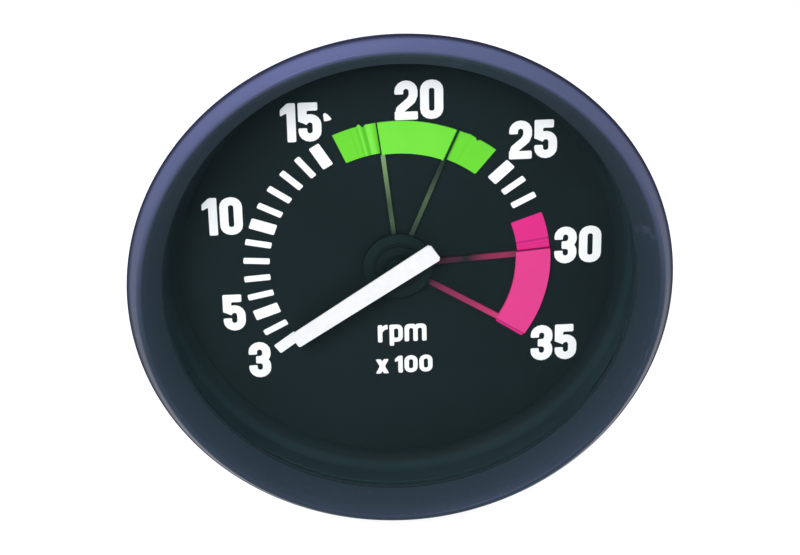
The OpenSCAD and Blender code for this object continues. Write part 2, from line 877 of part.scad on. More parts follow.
// A sector on two arms that run in to a ring on the bush
module marker(r_out, w, span, arm_w, ring_r, ring_z) {
    r_in = r_out - w;
    plate(green_z, marker_t)
        sector(r_in, r_out, -span / 2, span / 2);
    for (k = SIDES) {
        lean = asin(arm_w / 2 / r_in);
        rotate([0, 0, k * (span / 2 - lean)])
            translate([ring_r - 0.6, -arm_w / 2, green_z])
                cube([r_in - ring_r + 1.2, arm_w, marker_t]);
        rotate([0, 0, k * (span / 2 - lean)])
            translate([ring_r - 0.9, -arm_w / 2, green_z])
                cube([0.8, arm_w, ring_z - green_z + marker_t]);
    }
    ring(ring_r, ring_bore_r, ring_z, ring_z + marker_t);
}

module green_marker() {
    color([0.5, 0.93, 0.33])
        rotate([0, 0, green_middle])
            marker(band_out + marker_proud, green_w, green_span, green_arm_w, green_ring_r, green_z);
}

module red_marker() {
    color([0.89, 0.3, 0.63])
        rotate([0, 0, red_middle])
            marker(red_band_out + marker_proud, red_w, red_span, red_arm_w, red_ring_r, red_ring_z);
}

module marker_spring() {
    color([0.75, 0.75, 0.78])
        ring(marker_bush_r + 1.6, ring_bore_r, spring_z, spring_z + spring_t);
}

module marker_clip() {
    color([0.12, 0.12, 0.13])
        ring(marker_bush_r + 1.2, marker_bush_r - 0.6 + snug, clip_z, clip_z + clip_t);
}

// Pointer and its shaft

module pointer_blade() {
    bevel = 0.5;
    tail = pointer_w_tail / 2;
    tip = pointer_w_tip / 2;
    color([0.98, 0.98, 1])
        rotate([0, 0, pointer_rest])
            plate(pointer_back_z, pointer_t)
                polygon([
                    [-pointer_tail, bevel - tail], [bevel - pointer_tail, -tail],
                    [pointer_len - bevel / 2, -tip], [pointer_len, bevel / 2 - tip],
                    [pointer_len, tip - bevel / 2], [pointer_len - bevel / 2, tip],
                    [bevel - pointer_tail, tail], [-pointer_tail, tail - bevel]
                ]);
}

module pointer_hub() {
    color([0.05, 0.05, 0.06])
        difference() {
            union() {
                disc(pointer_hub_r, hub_back_z, pointer_back_z);
                disc(pointer_hub_r + 0.5, hub_back_z, hub_back_z + 0.8);
            }
            disc(shaft_r + snug, hub_back_z - 1, shaft_top_z);
        }
}

module pointer_shaft() {
    color([0.8, 0.8, 0.82])
        disc(shaft_r, shaft_end_z, shaft_top_z - snug);
}

module stop_arm() {
    color([0.78, 0.66, 0.35])
        difference() {
            union() {
                disc(1.6, stop_arm_z, stop_arm_z + stop_arm_t);
                rotate([0, 0, pointer_rest + 180])
                    translate([0, -stop_arm_w / 2, stop_arm_z])
                        cube([stop_out, stop_arm_w, stop_arm_t]);
            }
            disc(shaft_r + snug, stop_arm_z - 1, stop_arm_z + 2);
        }
}

module rotor_magnet() {
    color([0.25, 0.25, 0.27])
        ring(magnet_r, shaft_r + snug, box_mid_z - magnet_t / 2, box_mid_z + magnet_t / 2);
}

// Movement

// Moulded plate that the dial lies on; windows let the lamps' light reach the dial
module movement_frame() {
    over = dial_back_z + 1;
    under = frame_back_z - 1;
    color([0.88, 0.88, 0.84])
        difference() {
            disc(frame_r, frame_back_z, dial_back_z);
            disc(frame_hole_r, under, over);
            for (k = SIDES) {
                at_lamp(k)
                    disc(lamp_window_r, under, over);
                translate([k * feet_x, feet_y, 0])
                    disc(foot_r + snug, under, over);
                translate([k * ear_x, 0, 0])
                        countersink();
            }
            at_pillars()
                countersink();
        }
}

// Room for a flat-headed screw in the front of the movement frame
module countersink() {
    disc(screw_r + snug, frame_back_z - 1, dial_back_z + 1);
    disc(countersink_r, dial_back_z - countersink_t, dial_back_z + 1);
}

// A screw with a flat slotted head under the dial
module frame_screw(end_z) {
    head_z = dial_back_z - countersink_t;
    disc(screw_r, end_z, head_z);
    difference() {
        disc(screw_head_r, head_z, head_z + screw_head_t);
        block(2 * screw_head_r + 1, slot_w, head_z + screw_head_t - slot_t, head_z + screw_head_t + 1);
    }
}

module frame_screws() {
    color([0.7, 0.7, 0.72]) {
        for (k = SIDES)
            translate([k * ear_x, 0, 0])
                frame_screw(plate_back_z);
        at_pillars()
            frame_screw(frame_back_z - screw_reach);
    }
}

module bobbin_box(z0, z1) {
    half_room = magnet_t / 2 + magnet_air;
    difference() {
        block(2 * bobbin_half, 2 * bobbin_half, z0, z1);
        disc(magnet_r + 0.6, box_mid_z - half_room, box_mid_z + half_room);
    }
}

// Flange with its ears and stop, front boss, four posts and the front half of the coil box
module front_bobbin() {
    // Arm positions at rest and at the end of its travel, and the stop between them
    arm_rest = pointer_rest + 180;
    arm_end = arm_rest - pointer_travel;
    color([0.16, 0.17, 0.2])
        difference() {
            union() {
                disc(can_r, plate_back_z, frame_back_z);
                block(2 * (ear_x + ear_half), 2 * ear_half, plate_back_z, frame_back_z);
                plate(frame_back_z, 2)
                    sector(stop_in, stop_out, arm_rest + stop_margin, arm_end + 360 - stop_margin);
                disc(boss_r, box_front_z, frame_back_z);
                for (i = SIDES)
                    for (j = SIDES)
                        translate([i * pin_off, j * pin_off, 0])
                            disc(0.8, box_front_z, plate_back_z);
                bobbin_box(box_mid_z, box_front_z);
            }
            disc(shaft_r + 0.4, box_mid_z - 1, frame_back_z + 1);
            disc(bearing_r + snug, frame_back_z - bearing_l, frame_back_z + 1);
            for (k = SIDES)
                translate([k * ear_x, 0, 0])
                    disc(screw_r + snug, plate_back_z - 1, frame_back_z + 1);
        }
}

// Rear half of the coil box with its boss
module rear_bobbin() {
    color([0.16, 0.17, 0.2])
        difference() {
            union() {
                bobbin_box(box_back_z, box_mid_z);
                disc(boss_r, boss_end_z, box_back_z);
            }
            disc(shaft_r + 0.4, boss_end_z + bearing_l, box_mid_z + 1);
            disc(bearing_r + snug, boss_end_z - 1, boss_end_z + bearing_l);
            for (i = SIDES)
                for (j = SIDES)
                    translate([i * pin_off, j * pin_off, 0])
                        disc(pin_r + snug, box_back_z - 1, box_back_z + 2);
        }
}

// Two halves of a winding, one each side of the shaft, wound round the coil box
module winding(half, z_front, z_back) {
    middle = winding_off + winding_w / 2;
    for (k = SIDES)
        translate([k * middle, 0, 0])
            difference() {
                block(winding_w, 2 * (half + winding_t), z_back - winding_t, z_front);
                block(winding_w + 1, 2 * half, z_back, z_front - winding_t);
            }
}

module inner_winding() {
    color([0.72, 0.38, 0.2])
        winding(bobbin_half + snug, inner_front_z, inner_back_z);
}

module outer_winding() {
    color([0.65, 0.3, 0.16])
        rotate([0, 0, 90])
            winding(bobbin_half + snug, outer_front_z, outer_back_z);
}

module winding_pins() {
    color([0.82, 0.8, 0.72])
        for (i = SIDES)
            for (j = SIDES)
                translate([i * pin_off, j * pin_off, 0])
                    disc(pin_r, board_back_z - 1, box_back_z + 1.9);
}

module front_bearing() {
    color([0.8, 0.62, 0.3])
        ring(bearing_r, shaft_r + running, frame_back_z - bearing_l, frame_back_z);
}

// Blind bush that carries the shaft's rear end
module rear_bearing() {
    color([0.8, 0.62, 0.3])
        difference() {
            disc(bearing_r, boss_end_z, boss_end_z + bearing_l);
            disc(shaft_r + running, shaft_end_z - 0.05, boss_end_z + bearing_l + 1);
        }
}

// Small magnet beside the coil box that brings the pointer back to its stop
module zero_magnet() {
    magnet = 1.1;
    color([0.3, 0.3, 0.33])
        translate([0, bobbin_half + magnet + snug, 0])
            disc(magnet, box_mid_z - 2, box_mid_z + 2);
}

module shield_can() {
    color([0.7, 0.71, 0.72])
        difference() {
            disc(can_r, can_back_z, plate_back_z);
            disc(can_r - can_wall, boss_end_z, plate_back_z + 1);
            for (i = SIDES)
                for (j = SIDES)
                    translate([i * pin_off, j * pin_off, 0])
                        disc(pin_r + 0.6, boss_end_z - 2, boss_end_z + 1);
        }
}

// Circuit board

module board_pillars() {
    color([0.78, 0.68, 0.4])
        at_pillars()
            difference() {
                hexagon(pillar_flats, board_z, frame_back_z);
                disc(screw_r + snug, board_z - 1, frame_back_z + 1);
            }
}

module circuit_board() {
    below = board_back_z - 1;
    above = board_z + 1;
    color([0.12, 0.36, 0.2])
        difference() {
            disc(board_r, board_back_z, board_z);
            for (k = SIDES)
                at_lamp(k)
                    disc(lamp_cutout_r, below, above);
            at_pillars()
                disc(screw_r + snug, below, above);
            for (i = SIDES)
                for (j = SIDES)
                    translate([i * pin_off, j * pin_off, 0])
                        disc(pin_r + snug, below, above);
            for (k = [-1:1])
                translate([k * blade_pitch, -terminal_y, 0])
                    block(blade_w + 2 * snug, blade_t + 2 * snug, below, above);
        }
}

module board_screws() {
    head_t = 1.8;
    color([0.72, 0.72, 0.74])
        at_pillars() {
            disc(screw_r, board_back_z, board_z + screw_reach);
            difference() {
                disc(screw_head_r, board_back_z - head_t, board_back_z);
                block(2 * screw_head_r + 1, slot_w,
                    board_back_z - head_t - 1, board_back_z - head_t + slot_t);
            }
        }
}

// Driver chip with seven legs a side
module driver_chip() {
    foot_z = board_z + chip_lift;
    notch_r = 1;
    notch_t = 0.6;
    translate([0, chip_y, 0]) {
        color([0.1, 0.1, 0.11])
            difference() {
                block(chip_l, chip_w, foot_z, foot_z + chip_t);
                translate([-chip_l / 2, 0, 0])
                    disc(notch_r, foot_z + chip_t - notch_t, foot_z + chip_t + 1);
            }
        color([0.8, 0.8, 0.8])
            for (i = [-3:3])
                for (k = SIDES)
                    translate([i * leg_pitch, k * (chip_w / 2 + leg_t / 2 - 0.05), 0])
                        block(leg_w, leg_t, board_z, foot_z + chip_t / 2);
    }
}

// Two round cans on the left and a film block on the right, all beside the shield can
module capacitors() {
    cans_x = -(can_r + part_gap + large_can_r);
    color([0.15, 0.18, 0.35]) {
        translate([cans_x, -large_can_r / 2, 0])
            disc(large_can_r, board_z, board_z + large_can_h);
        translate([cans_x, large_can_r / 2 + small_can_r + part_gap, 0])
            disc(small_can_r, board_z, board_z + small_can_h);
    }
    color([0.75, 0.3, 0.15])
        translate([can_r + part_gap + film_w / 2, -film_d / 2, 0])
            block(film_w, film_d, board_z, board_z + film_h);
}

// Resistors lie on bent legs at both ends of the chip
module resistors() {
    rise = board_z + resistor_r + resistor_leg_r;
    reach = resistor_leg_x + resistor_leg_r;
    color([0.8, 0.7, 0.5])
        for (k = SIDES)
            for (i = SIDES)
                translate([k * resistor_x, chip_y + i * resistor_step / 2, 0]) {
                    translate([-resistor_l / 2, 0, rise])
                        rotate([0, 90, 0])
                            cylinder(r = resistor_r, h = resistor_l);
                    translate([-reach, 0, rise])
                        rotate([0, 90, 0])
                            cylinder(r = resistor_leg_r, h = 2 * reach);
                    for (j = SIDES)
                        translate([j * resistor_leg_x, 0, 0])
                            disc(resistor_leg_r, board_z, rise);
                }
}

module trimmer_body() {
    color([0.15, 0.35, 0.7])
        translate([0, trimmer_y, 0])
            difference() {
                block(trimmer_side, trimmer_side, board_back_z - trimmer_h, board_back_z);
                disc(trimmer_r + running, board_back_z - trimmer_h - 1, rotor_z);
            }
}

module trimmer_rotor() {
    color([0.9, 0.9, 0.88])
        translate([0, trimmer_y, 0])
            difference() {
                disc(trimmer_r, rotor_end_z, rotor_z - snug);
                block(2 * trimmer_r + 1, slot_w, rotor_end_z - 1, rotor_end_z + slot_t);
            }
}

// Rubber plug in the hole over the trimmer
module trimmer_plug() {
    color([0.06, 0.06, 0.07])
        translate([0, trimmer_y, 0]) {
            disc(trimmer_hole_r + 2, back_z - plug_head_t, back_z);
            disc(trimmer_hole_r - snug, back_z, back_in_z);
            disc(trimmer_hole_r + 0.4, back_in_z, back_in_z + 0.25);
        }
}

// Rear fittings

module terminal_block() {
    color([0.82, 0.8, 0.72])
        translate([0, -terminal_y, 0])
            difference() {
                union() {
                    block(block_w, block_d, block_back_z, back_z);
                    block(block_key_w, block_key_d, back_z, back_in_z + case_sheet);
                }
                for (k = [-1:1])
                    translate([k * blade_pitch, 0, 0])
                        block(blade_w + 2 * snug, blade_t + 2 * snug, block_back_z - 1, back_in_z + 2);
                for (k = SIDES)
                    translate([k * rivet_x, 0, 0])
                        disc(rivet_r + snug, block_back_z - 1, back_z + 1);
            }
}

// Flat tabs with a bevelled tip and a latch hole, soldered into the board
module terminal_blades() {
    half = blade_w / 2;
    color([0.82, 0.74, 0.5])
        for (k = [-1:1])
            translate([k * blade_pitch, -terminal_y + blade_t / 2, 0])
                rotate([90, 0, 0])
                    linear_extrude(blade_t)
                        difference() {
                            polygon([
                                [-half, blade_start_z], [half, blade_start_z],
                                [half, blade_end_z + blade_bevel],
                                [half - blade_bevel, blade_end_z], [blade_bevel - half, blade_end_z],
                                [-half, blade_end_z + blade_bevel]
                            ]);
                            translate([0, blade_end_z + latch_place])
                                circle(r = latch_r);
                        }
}

module terminal_rivets() {
    color([0.7, 0.7, 0.72])
        for (k = SIDES)
            translate([k * rivet_x, -terminal_y, 0]) {
                disc(rivet_r, block_back_z, back_in_z);
                disc(rivet_head_r, block_back_z - rivet_head_t, block_back_z);
                disc(rivet_head_r, back_in_z, back_in_z + rivet_head_t);
            }
}

// Studs with a hexagonal collar against the case's back and a thinner tail through it
module mounting_studs() {
    collar_z = back_z - stud_collar_t;
    end_z = back_z - stud_l;
    color([0.76, 0.74, 0.68])
        at_studs() {
            disc(stud_tail_r, back_z, back_in_z + nut_t + loose);
            hexagon(stud_collar_flats, collar_z, back_z);
            disc(stud_r, end_z + stud_chamfer, collar_z);
            translate([0, 0, end_z])
                cylinder(r1 = stud_r - stud_chamfer, r2 = stud_r, h = stud_chamfer);
        }
}

// Nuts on the tails, inside the case
module stud_nuts() {
    color([0.74, 0.73, 0.68])
        at_studs()
            difference() {
                hexagon(nut_flats, back_in_z, back_in_z + nut_t);
                disc(stud_tail_r + snug, back_in_z - 1, back_in_z + nut_t + 1);
            }
}

// Quarter-turn holder: outer flange with a grip, neck in the case's hole, two lugs inside, bulb tube
module lamp_holder(side) {
    color([0.85, 0.83, 0.76])
        at_lamp(side)
            difference() {
                union() {
                    disc(lamp_flange_r, lamp_seat_z - lamp_flange_t, lamp_seat_z);
                    disc(lamp_neck_r, lamp_seat_z, lug_z);
                    intersection() {
                        disc(lamp_lug_r, lug_z, lug_z + lamp_lug_t);
                        block(2 * lamp_lug_r, lamp_lug_w, lug_z, lug_z + lamp_lug_t);
                    }
                    disc(lamp_tube_r, lug_z, lug_z + lamp_tube_l);
                    block(grip_w, grip_d, grip_end_z, lamp_seat_z - lamp_flange_t);
                }
                disc(lamp_bore_r, lamp_seat_z - 0.5, lug_z + lamp_tube_l + 1);
            }
}

module lamp_holder_left() {
    lamp_holder(-1);
}

module lamp_holder_right() {
    lamp_holder(1);
}

// Two short tabs behind the grip
module lamp_contacts(side) {
    color([0.8, 0.7, 0.4])
        at_lamp(side)
            for (k = SIDES)
                translate([k * contact_x, 0, 0])
                    block(contact_w, contact_t, grip_end_z - contact_l, grip_end_z);
}

module lamp_contacts_left() {
    lamp_contacts(-1);
}

module lamp_contacts_right() {
    lamp_contacts(1);
}

// Bulb with its base in the holder's tube and a round end
module lamp_bulb(side) {
    mouth_z = lug_z + lamp_tube_l;
    color([0.95, 0.95, 0.9, 0.6])
        at_lamp(side) {
            disc(lamp_bore_r - snug, back_z, mouth_z);
            disc(bulb_r, mouth_z, mouth_z + bulb_l);
            translate([0, 0, mouth_z + bulb_l])
                sphere(r = bulb_r);
        }
}

module lamp_bulb_left() {
    lamp_bulb(-1);
}

module lamp_bulb_right() {
    lamp_bulb(1);
}

upright() bezel_ring();
upright() front_glass();
upright() glass_seal();
upright() mask_ring();
upright() case_shell();
upright() panel_gasket();
upright() dial_plate();
upright() dial_feet();
upright() scale_marks();
upright() green_band();
upright() red_band();
upright() dial_numbers();
upright() dial_lettering();
upright() marker_bush();
upright() marker_washer();
upright() green_marker();
upright() red_marker();
upright() marker_spring();
upright() marker_clip();
upright() pointer_blade();
upright() pointer_hub();
upright() pointer_shaft();
upright() stop_arm();
upright() rotor_magnet();
upright() movement_frame();
upright() frame_screws();
upright() front_bobbin();
upright() rear_bobbin();
upright() inner_winding();
upright() outer_winding();
upright() winding_pins();
upright() front_bearing();
upright() rear_bearing();
upright() zero_magnet();
upright() shield_can();
upright() board_pillars();
upright() circuit_board();
upright() board_screws();
upright() driver_chip();
upright() capacitors();
upright() resistors();
upright() trimmer_body();
upright() trimmer_rotor();
upright() trimmer_plug();
upright() terminal_block();
upright() terminal_blades();
upright() terminal_rivets();
upright() mounting_studs();
upright() stud_nuts();
upright() lamp_holder_left();
upright() lamp_holder_right();
upright() lamp_contacts_left();
upright() lamp_contacts_right();
upright() lamp_bulb_left();
upright() lamp_bulb_right();
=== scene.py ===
"""Truck tachometer: the fine form and the finish of every piece, laid out as an add-on."""

import json
import math

import bmesh
import bpy
from bpy.props import FloatProperty, FloatVectorProperty, IntProperty, PointerProperty
from bpy.types import Operator, Panel, PropertyGroup
from mathutils import Matrix, Vector


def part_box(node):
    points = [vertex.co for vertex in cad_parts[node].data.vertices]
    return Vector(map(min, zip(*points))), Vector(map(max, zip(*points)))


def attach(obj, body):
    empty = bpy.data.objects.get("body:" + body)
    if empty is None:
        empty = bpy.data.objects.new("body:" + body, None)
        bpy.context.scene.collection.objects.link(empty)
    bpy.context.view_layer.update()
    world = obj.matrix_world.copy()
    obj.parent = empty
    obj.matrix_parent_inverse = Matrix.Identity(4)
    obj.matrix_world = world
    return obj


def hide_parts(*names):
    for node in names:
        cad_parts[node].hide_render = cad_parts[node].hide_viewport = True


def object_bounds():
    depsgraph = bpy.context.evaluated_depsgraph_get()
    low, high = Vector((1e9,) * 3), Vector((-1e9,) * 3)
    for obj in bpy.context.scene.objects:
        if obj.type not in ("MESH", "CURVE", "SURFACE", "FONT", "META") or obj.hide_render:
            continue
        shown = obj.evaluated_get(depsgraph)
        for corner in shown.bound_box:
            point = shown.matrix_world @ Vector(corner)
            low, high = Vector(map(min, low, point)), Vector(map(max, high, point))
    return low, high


bl_info = {
    "name": "Truck tachometer",
    "version": (1, 0, 0),
    "blender": (4, 5, 0),
    "location": "3D View > Sidebar > Tachometer",
    "description": "Builds the finish and the fine form of a truck tachometer, piece by piece",
    "category": "Object",
}

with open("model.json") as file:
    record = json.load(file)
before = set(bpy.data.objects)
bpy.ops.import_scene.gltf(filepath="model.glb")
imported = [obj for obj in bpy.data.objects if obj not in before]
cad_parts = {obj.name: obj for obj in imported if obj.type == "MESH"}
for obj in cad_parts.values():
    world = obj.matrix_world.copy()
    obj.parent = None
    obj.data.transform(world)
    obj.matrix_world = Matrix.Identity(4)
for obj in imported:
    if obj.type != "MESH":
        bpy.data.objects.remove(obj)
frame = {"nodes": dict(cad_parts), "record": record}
CAD_BOX = [list(corner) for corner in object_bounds()]

MM = 0.001
# Points that lie nearer to each other than this are one
MERGE = 1e-6
SIDES = (-1, 1)
BODIES = frame["record"]["behaviour"]["bodies"]
BODY_OF = {node: body for body, nodes in BODIES.items() for node in nodes}
SLOT_OF = {part["node"]: part["material_slot"] for part in frame["record"]["subparts"]}


def seen(red, green, blue):
    """A colour as a viewer sees it, each part from 0 to 255, turned into linear light."""
    parts = [value / 255 for value in (red, green, blue)]
    return tuple(v / 12.92 if v <= 0.04045 else ((v + 0.055) / 1.055) ** 2.4 for v in parts)


def near(node):
    """How far a node reaches towards the viewer, in front of the panel."""
    return -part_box(node)[0].y


def far(node):
    """Where a node ends behind, measured from the panel towards the viewer."""
    return -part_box(node)[1].y


def reach(node):
    """How far a node reaches to the right of the middle."""
    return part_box(node)[1].x


def size(name, about, default):
    """A length that a user can change."""
    return FloatProperty(
        name=name, description=about, default=default, unit="LENGTH", subtype="DISTANCE", precision=5
    )


def colour(name, about, default):
    """A colour that a user can change."""
    return FloatVectorProperty(
        name=name, description=about, default=default, size=3, min=0, max=1, subtype="COLOR"
    )


def share(name, about, default):
    """A part of one that a user can change."""
    return FloatProperty(name=name, description=about, default=default, min=0, max=1, subtype="FACTOR")


def angle(name, about, degrees):
    """An angle that a user can change."""
    return FloatProperty(name=name, description=about, default=math.radians(degrees), subtype="ANGLE")


class BezelLook(PropertyGroup):
    """Sizes and colours of the pressed bezel ring."""
    outer_r: size("Outer radius", "Radius of the ring at its rear edge", reach("bezel_ring"))
    crest_out: size("Crest", "Height of the crest in front of the panel", near("bezel_ring"))
    back_out: size("Rear edge", "Height of the rear edge, on the gasket", near("panel_gasket"))
    foot_out: size("Lip foot", "Height of the lip's foot on the seal", far("bezel_ring"))
    lip_out: size("Lip", "Height of the lip's edge", 0.35 * MM)
    lip_r: size("Lip radius", "Radius of the opening", 48.1 * MM)
    crimp_r: size("Crimp radius", "Inner radius of the rear edge that is turned in under the case", 52.2 * MM)
    edge_round: size("Edge round", "Radius of the rear edge", 0.3 * MM)
    crest_round: size("Crest round", "Radius where the crest turns into the cone", 0.8 * MM)
    sheet: size("Sheet", "Thickness of the pressed steel", 0.8 * MM)
    corner: size("Corner", "Radius of the sheet's edges", 0.16 * MM)
    cone: angle("Cone", "Slope of the inner cone", 53)
    steps: IntProperty(name="Steps", description="Steps round the ring", default=384, min=24)
    paint: colour("Paint", "Satin paint", seen(33, 49, 54))
    # Painted shade: this colour darkens the inner cone towards the lip, where shade falls into the opening
    shade: colour("Painted lip shade", "Paint by the lip, where the coat is thin and matt", seen(26, 43, 43))
    # Painted highlight: the crest colour and the two heights below lighten the crest towards the top of the
    # ring, where light from above falls on it
    crest: colour("Painted crest highlight", "Paint on the upper crest, polished by hands", seen(68, 77, 104))
    polish_low: size("Highlight starts", "Height on the ring at which the crest's polish starts", -12 * MM)
    polish_high: size("Highlight is full", "Height on the ring from which the crest is fully polished", 26 * MM)
    # Painted shade: this colour darkens the rear edge, where the ring's outline falls into shade
    edge: colour("Painted edge shade", "Thick dark paint on the rear edge", seen(12, 18, 28))
    sheen: colour("Sheen", "Tint of the paint's reflections", (0.50, 0.44, 1.0))
    bare: colour("Worn", "Paint rubbed thin at the edges", seen(84, 92, 116))


class GlassLook(PropertyGroup):
    """Sizes and colours of the glass, its seal and the mask behind it."""
    corner: size("Edge", "Ground edge of the glass", 0.2 * MM)
    seal_show: size("Seal shows", "Width of the seal's edge that shows inside the lip", 0.25 * MM)
    seal_corner: size("Seal corner", "Rounding of the seal's edges", 0.1 * MM)
    mask_in: size("Mask radius", "Inner radius of the mask's wall", 48.1 * MM)
    mask_foot: size("Mask foot", "Radius where the mask's curve meets the dial", 44.8 * MM)
    mask_edge: size("Mask edge", "Thickness of the mask's foot", 0.25 * MM)
    mask_corner: size("Mask corner", "Rounding of the mask's edges", 0.08 * MM)
    tint: colour("Reflection", "Tint of the glass's reflection", (0.80, 0.94, 1.0))
    # Painted light and shade: the mask colour is lightened for its wall, which lies in the lip's shade, and
    # the cove colour darkens the curve where it meets the dial
    mask: colour("Mask", "Deep black moulding", seen(38, 56, 61))
    cove: colour("Painted cove shade", "Black of the curve that meets the dial", seen(23, 36, 39))


class DialLook(PropertyGroup):
    """Sizes and colours of the dial and what is printed on it."""
    corner: size("Print corner", "Rounding of the printed corners", 0.34 * MM)
    fleck_r: size("Fleck radius", "How far the stray fleck of paint lies from the axis", 36.0 * MM)
    fleck_turn: angle("Fleck turn", "Where the fleck lies round the axis", 112.4)
    fleck_corner: size("Fleck corner", "Rounding of the fleck's outline", 0.15 * MM)
    # Painted reflection: these dial colours hold the faint straight reflection that is taken off the pane
    ground: colour("Ground", "Matt black ground with a slight green cast", seen(26, 37, 40))
    white: colour("White", "White print", seen(253, 254, 255))
    green: colour("Green", "Green print", seen(104, 212, 47))
    pink: colour("Pink", "Magenta print", seen(221, 40, 131))
    # Painted shade in the films' folds and painted light on the green film's rises
    green_fold: colour("Painted green fold shade", "Shade in the folds of the green film", seen(76, 186, 34))
    green_rise: colour("Painted green rise light", "Light on the raised folds of the green film", seen(124, 227, 74))
    pink_fold: colour("Painted pink fold shade", "Shade in the fold of the magenta film", seen(170, 22, 112))


class MarkerLook(PropertyGroup):
    """Sizes and colours of the two sector markers."""
    strip_w: size("Strip width", "Width of a painted strip", 7.05 * MM)
    green: colour("Green strip", "Green paint", seen(115, 221, 64))
    green_arm: colour("Green arm", "Paint on the green marker's arms", seen(128, 158, 112))
    pink: colour("Pink strip", "Pink paint", seen(224, 66, 139))
    pink_arm: colour("Pink arm", "Paint on the pink marker's arms", seen(200, 62, 116))
    ring: colour("Ring", "Dark rings at the middle", seen(23, 38, 40))
    # Painted shadow: these dark edges across each strip's ends stand for the shadow that the raised strip
    # casts
    green_end: colour("Green end", "Dark edge across each end of the green strip", seen(10, 50, 26))
    pink_end: colour("Pink end", "Dark edge across each end of the pink strip", seen(126, 14, 76))
    end_w: size("End shadow width", "Width of the dark edge across each end", 0.6 * MM)


class PointerLook(PropertyGroup):
    """Sizes and colours of the pointer."""
    edge: size("Edge", "Rounding of the blade's edges", 0.08 * MM)
    white: colour("White", "White paint", seen(238, 237, 240))


class CaseLook(PropertyGroup):
    """Colours of the case and its rear fittings."""
    zinc: colour("Zinc", "Dulled zinc on the drawn steel", seen(158, 161, 163))
    rubber: colour("Rubber", "Black moulded rubber", seen(22, 28, 31))
    # Painted light: this colour lightens the seal's edge, which lies in the shade under the lip
    seal: colour("Seal", "Rubber of the seal's edge, greyed by dust", seen(32, 46, 51))
    block: colour("Block", "Cream insulating plastic", seen(206, 198, 174))
    brass: colour("Brass", "Brass of the blades and contacts", seen(205, 172, 104))
    stud_r: size("Stud radius", "Outer radius of the studs' thread", 2.5 * MM)
    pitch: size("Thread pitch", "Pitch of the studs' thread", 0.8 * MM)
    collar: size("Collar", "Thickness of the studs' hexagonal collar", 4 * MM)
    collar_flats: size("Collar flats", "Width of the collar across its flats", 8 * MM)
    collar_bevel: size("Collar bevel", "Bevel round the collar's outer face", 0.5 * MM)
    tail_r: size("Tail radius", "Radius of the studs' tails through the case", 2 * MM)
    tail_corner: size("Tail corner", "Rounding of the tails' ends", 0.15 * MM)


class MovementLook(PropertyGroup):
    """Sizes and colours of the movement and the circuit board."""
    wire: size("Wire", "Thickness of the winding wire", 0.4 * MM)
    copper: colour("Copper", "Enamelled copper", seen(188, 98, 52))
    board: colour("Board", "Green glass-fibre board", seen(42, 104, 60))
    bobbin: colour("Bobbin", "Dark moulded plastic", seen(44, 45, 52))
    steel: colour("Steel", "Bright steel", seen(196, 198, 200))


class StageLook(PropertyGroup):
    """The camera, the lamps and the white ground."""
    turn: angle("Turn", "Camera's turn round the object", -3.12)
    rise: angle("Rise", "Camera's rise above the object's axis", 27.6)
    roll: angle("Roll", "Camera's roll", -1.0)
    distance: size("Distance", "Camera's distance from the bezel's middle", 440 * MM)
    lens: FloatProperty(name="Lens", description="Focal length in millimetres", default=98.35)
    right: FloatProperty(name="Right", description="Pixels that the object lies to the right", default=1.6)
    low: FloatProperty(name="Low", description="Pixels that the object lies under the middle", default=12.7)
    ambient: share("Ambient", "Plain light from all round", 0.55)
    floor_size: size("Floor", "Half the floor's width", 3.0)


# General forms


def place(x, y, z):
    """A point of the dial, x right, y up and z towards the viewer, in the frame."""
    return Vector((x, -z, y))


def arc(middle_x, middle_y, radius_x, radius_y, start, end, steps):
    """Points along an arc or a stretch of an ellipse, with its angles in degrees."""
    turns = [math.radians(start + (end - start) * i / steps) for i in range(steps + 1)]
    return [(middle_x + radius_x * math.cos(t), middle_y + radius_y * math.sin(t)) for t in turns]


def soft_corners(points, radius, steps=4, least=math.radians(24)):
    """A closed outline with its corners rounded, and its gentle bends as they are."""
    soft = []
    for i, point in enumerate(points):
        here = Vector(point)
        before = Vector(points[i - 1]) - here
        after = Vector(points[(i + 1) % len(points)]) - here
        if min(before.length, after.length) < MERGE:
            continue
        if math.pi - before.angle(after) < least:
            soft.append(here)
            continue
        run = min(radius, 0.45 * before.length, 0.45 * after.length)
        start = here + before.normalized() * run
        end = here + after.normalized() * run
        for k in range(steps + 1):
            t = k / steps
            soft.append(start * (1 - t) ** 2 + here * 2 * t * (1 - t) + end * t * t)
    return soft


def merged(mesh):
    """A mesh to work on, with its doubled points merged."""
    bm = bmesh.new()
    bm.from_mesh(mesh)
    bmesh.ops.remove_doubles(bm, verts=bm.verts, dist=MERGE)
    return bm


def span_rings(bm, rings, closed=False):
    """Adds the faces between rings of points, and two ends unless the rings close on themselves."""
    for ring, following in zip(rings, rings[1:] + rings[:1] if closed else rings[1:]):
        for k in range(len(ring)):
            bm.faces.new((ring[k - 1], ring[k], following[k], following[k - 1]))
    if not closed:
        bm.faces.new(rings[0])
        bm.faces.new(rings[-1])


def piece_of(name, bm, sharp=math.radians(32)):
    """A new object from a mesh under work, smooth but for its sharp edges."""
    bmesh.ops.recalc_face_normals(bm, faces=bm.faces)
    mesh = bpy.data.meshes.new(name)
    bm.to_mesh(mesh)
    bm.free()
    mesh.shade_smooth()
    mesh.set_sharp_from_angle(angle=sharp)
    piece = bpy.data.objects.new(name, mesh)
    bpy.context.scene.collection.objects.link(piece)
    return piece


def turn_into(bm, profile, steps=192, middle=(0, 0)):
    """Adds a closed profile of radius and height, turned round an axis that looks at the viewer."""
    x, y = middle
    rings = []
    for i in range(steps):
        t = 2 * math.pi * i / steps
        rings.append([bm.verts.new(place(x + r * math.cos(t), y + r * math.sin(t), z)) for r, z in profile])
    span_rings(bm, rings, closed=True)
    bmesh.ops.remove_doubles(bm, verts=bm.verts, dist=MERGE / 10)


def turned(name, profile, steps=192):
    """A closed profile turned round the instrument's axis."""
    bm = bmesh.new()
    turn_into(bm, profile, steps)
    return piece_of(name, bm)


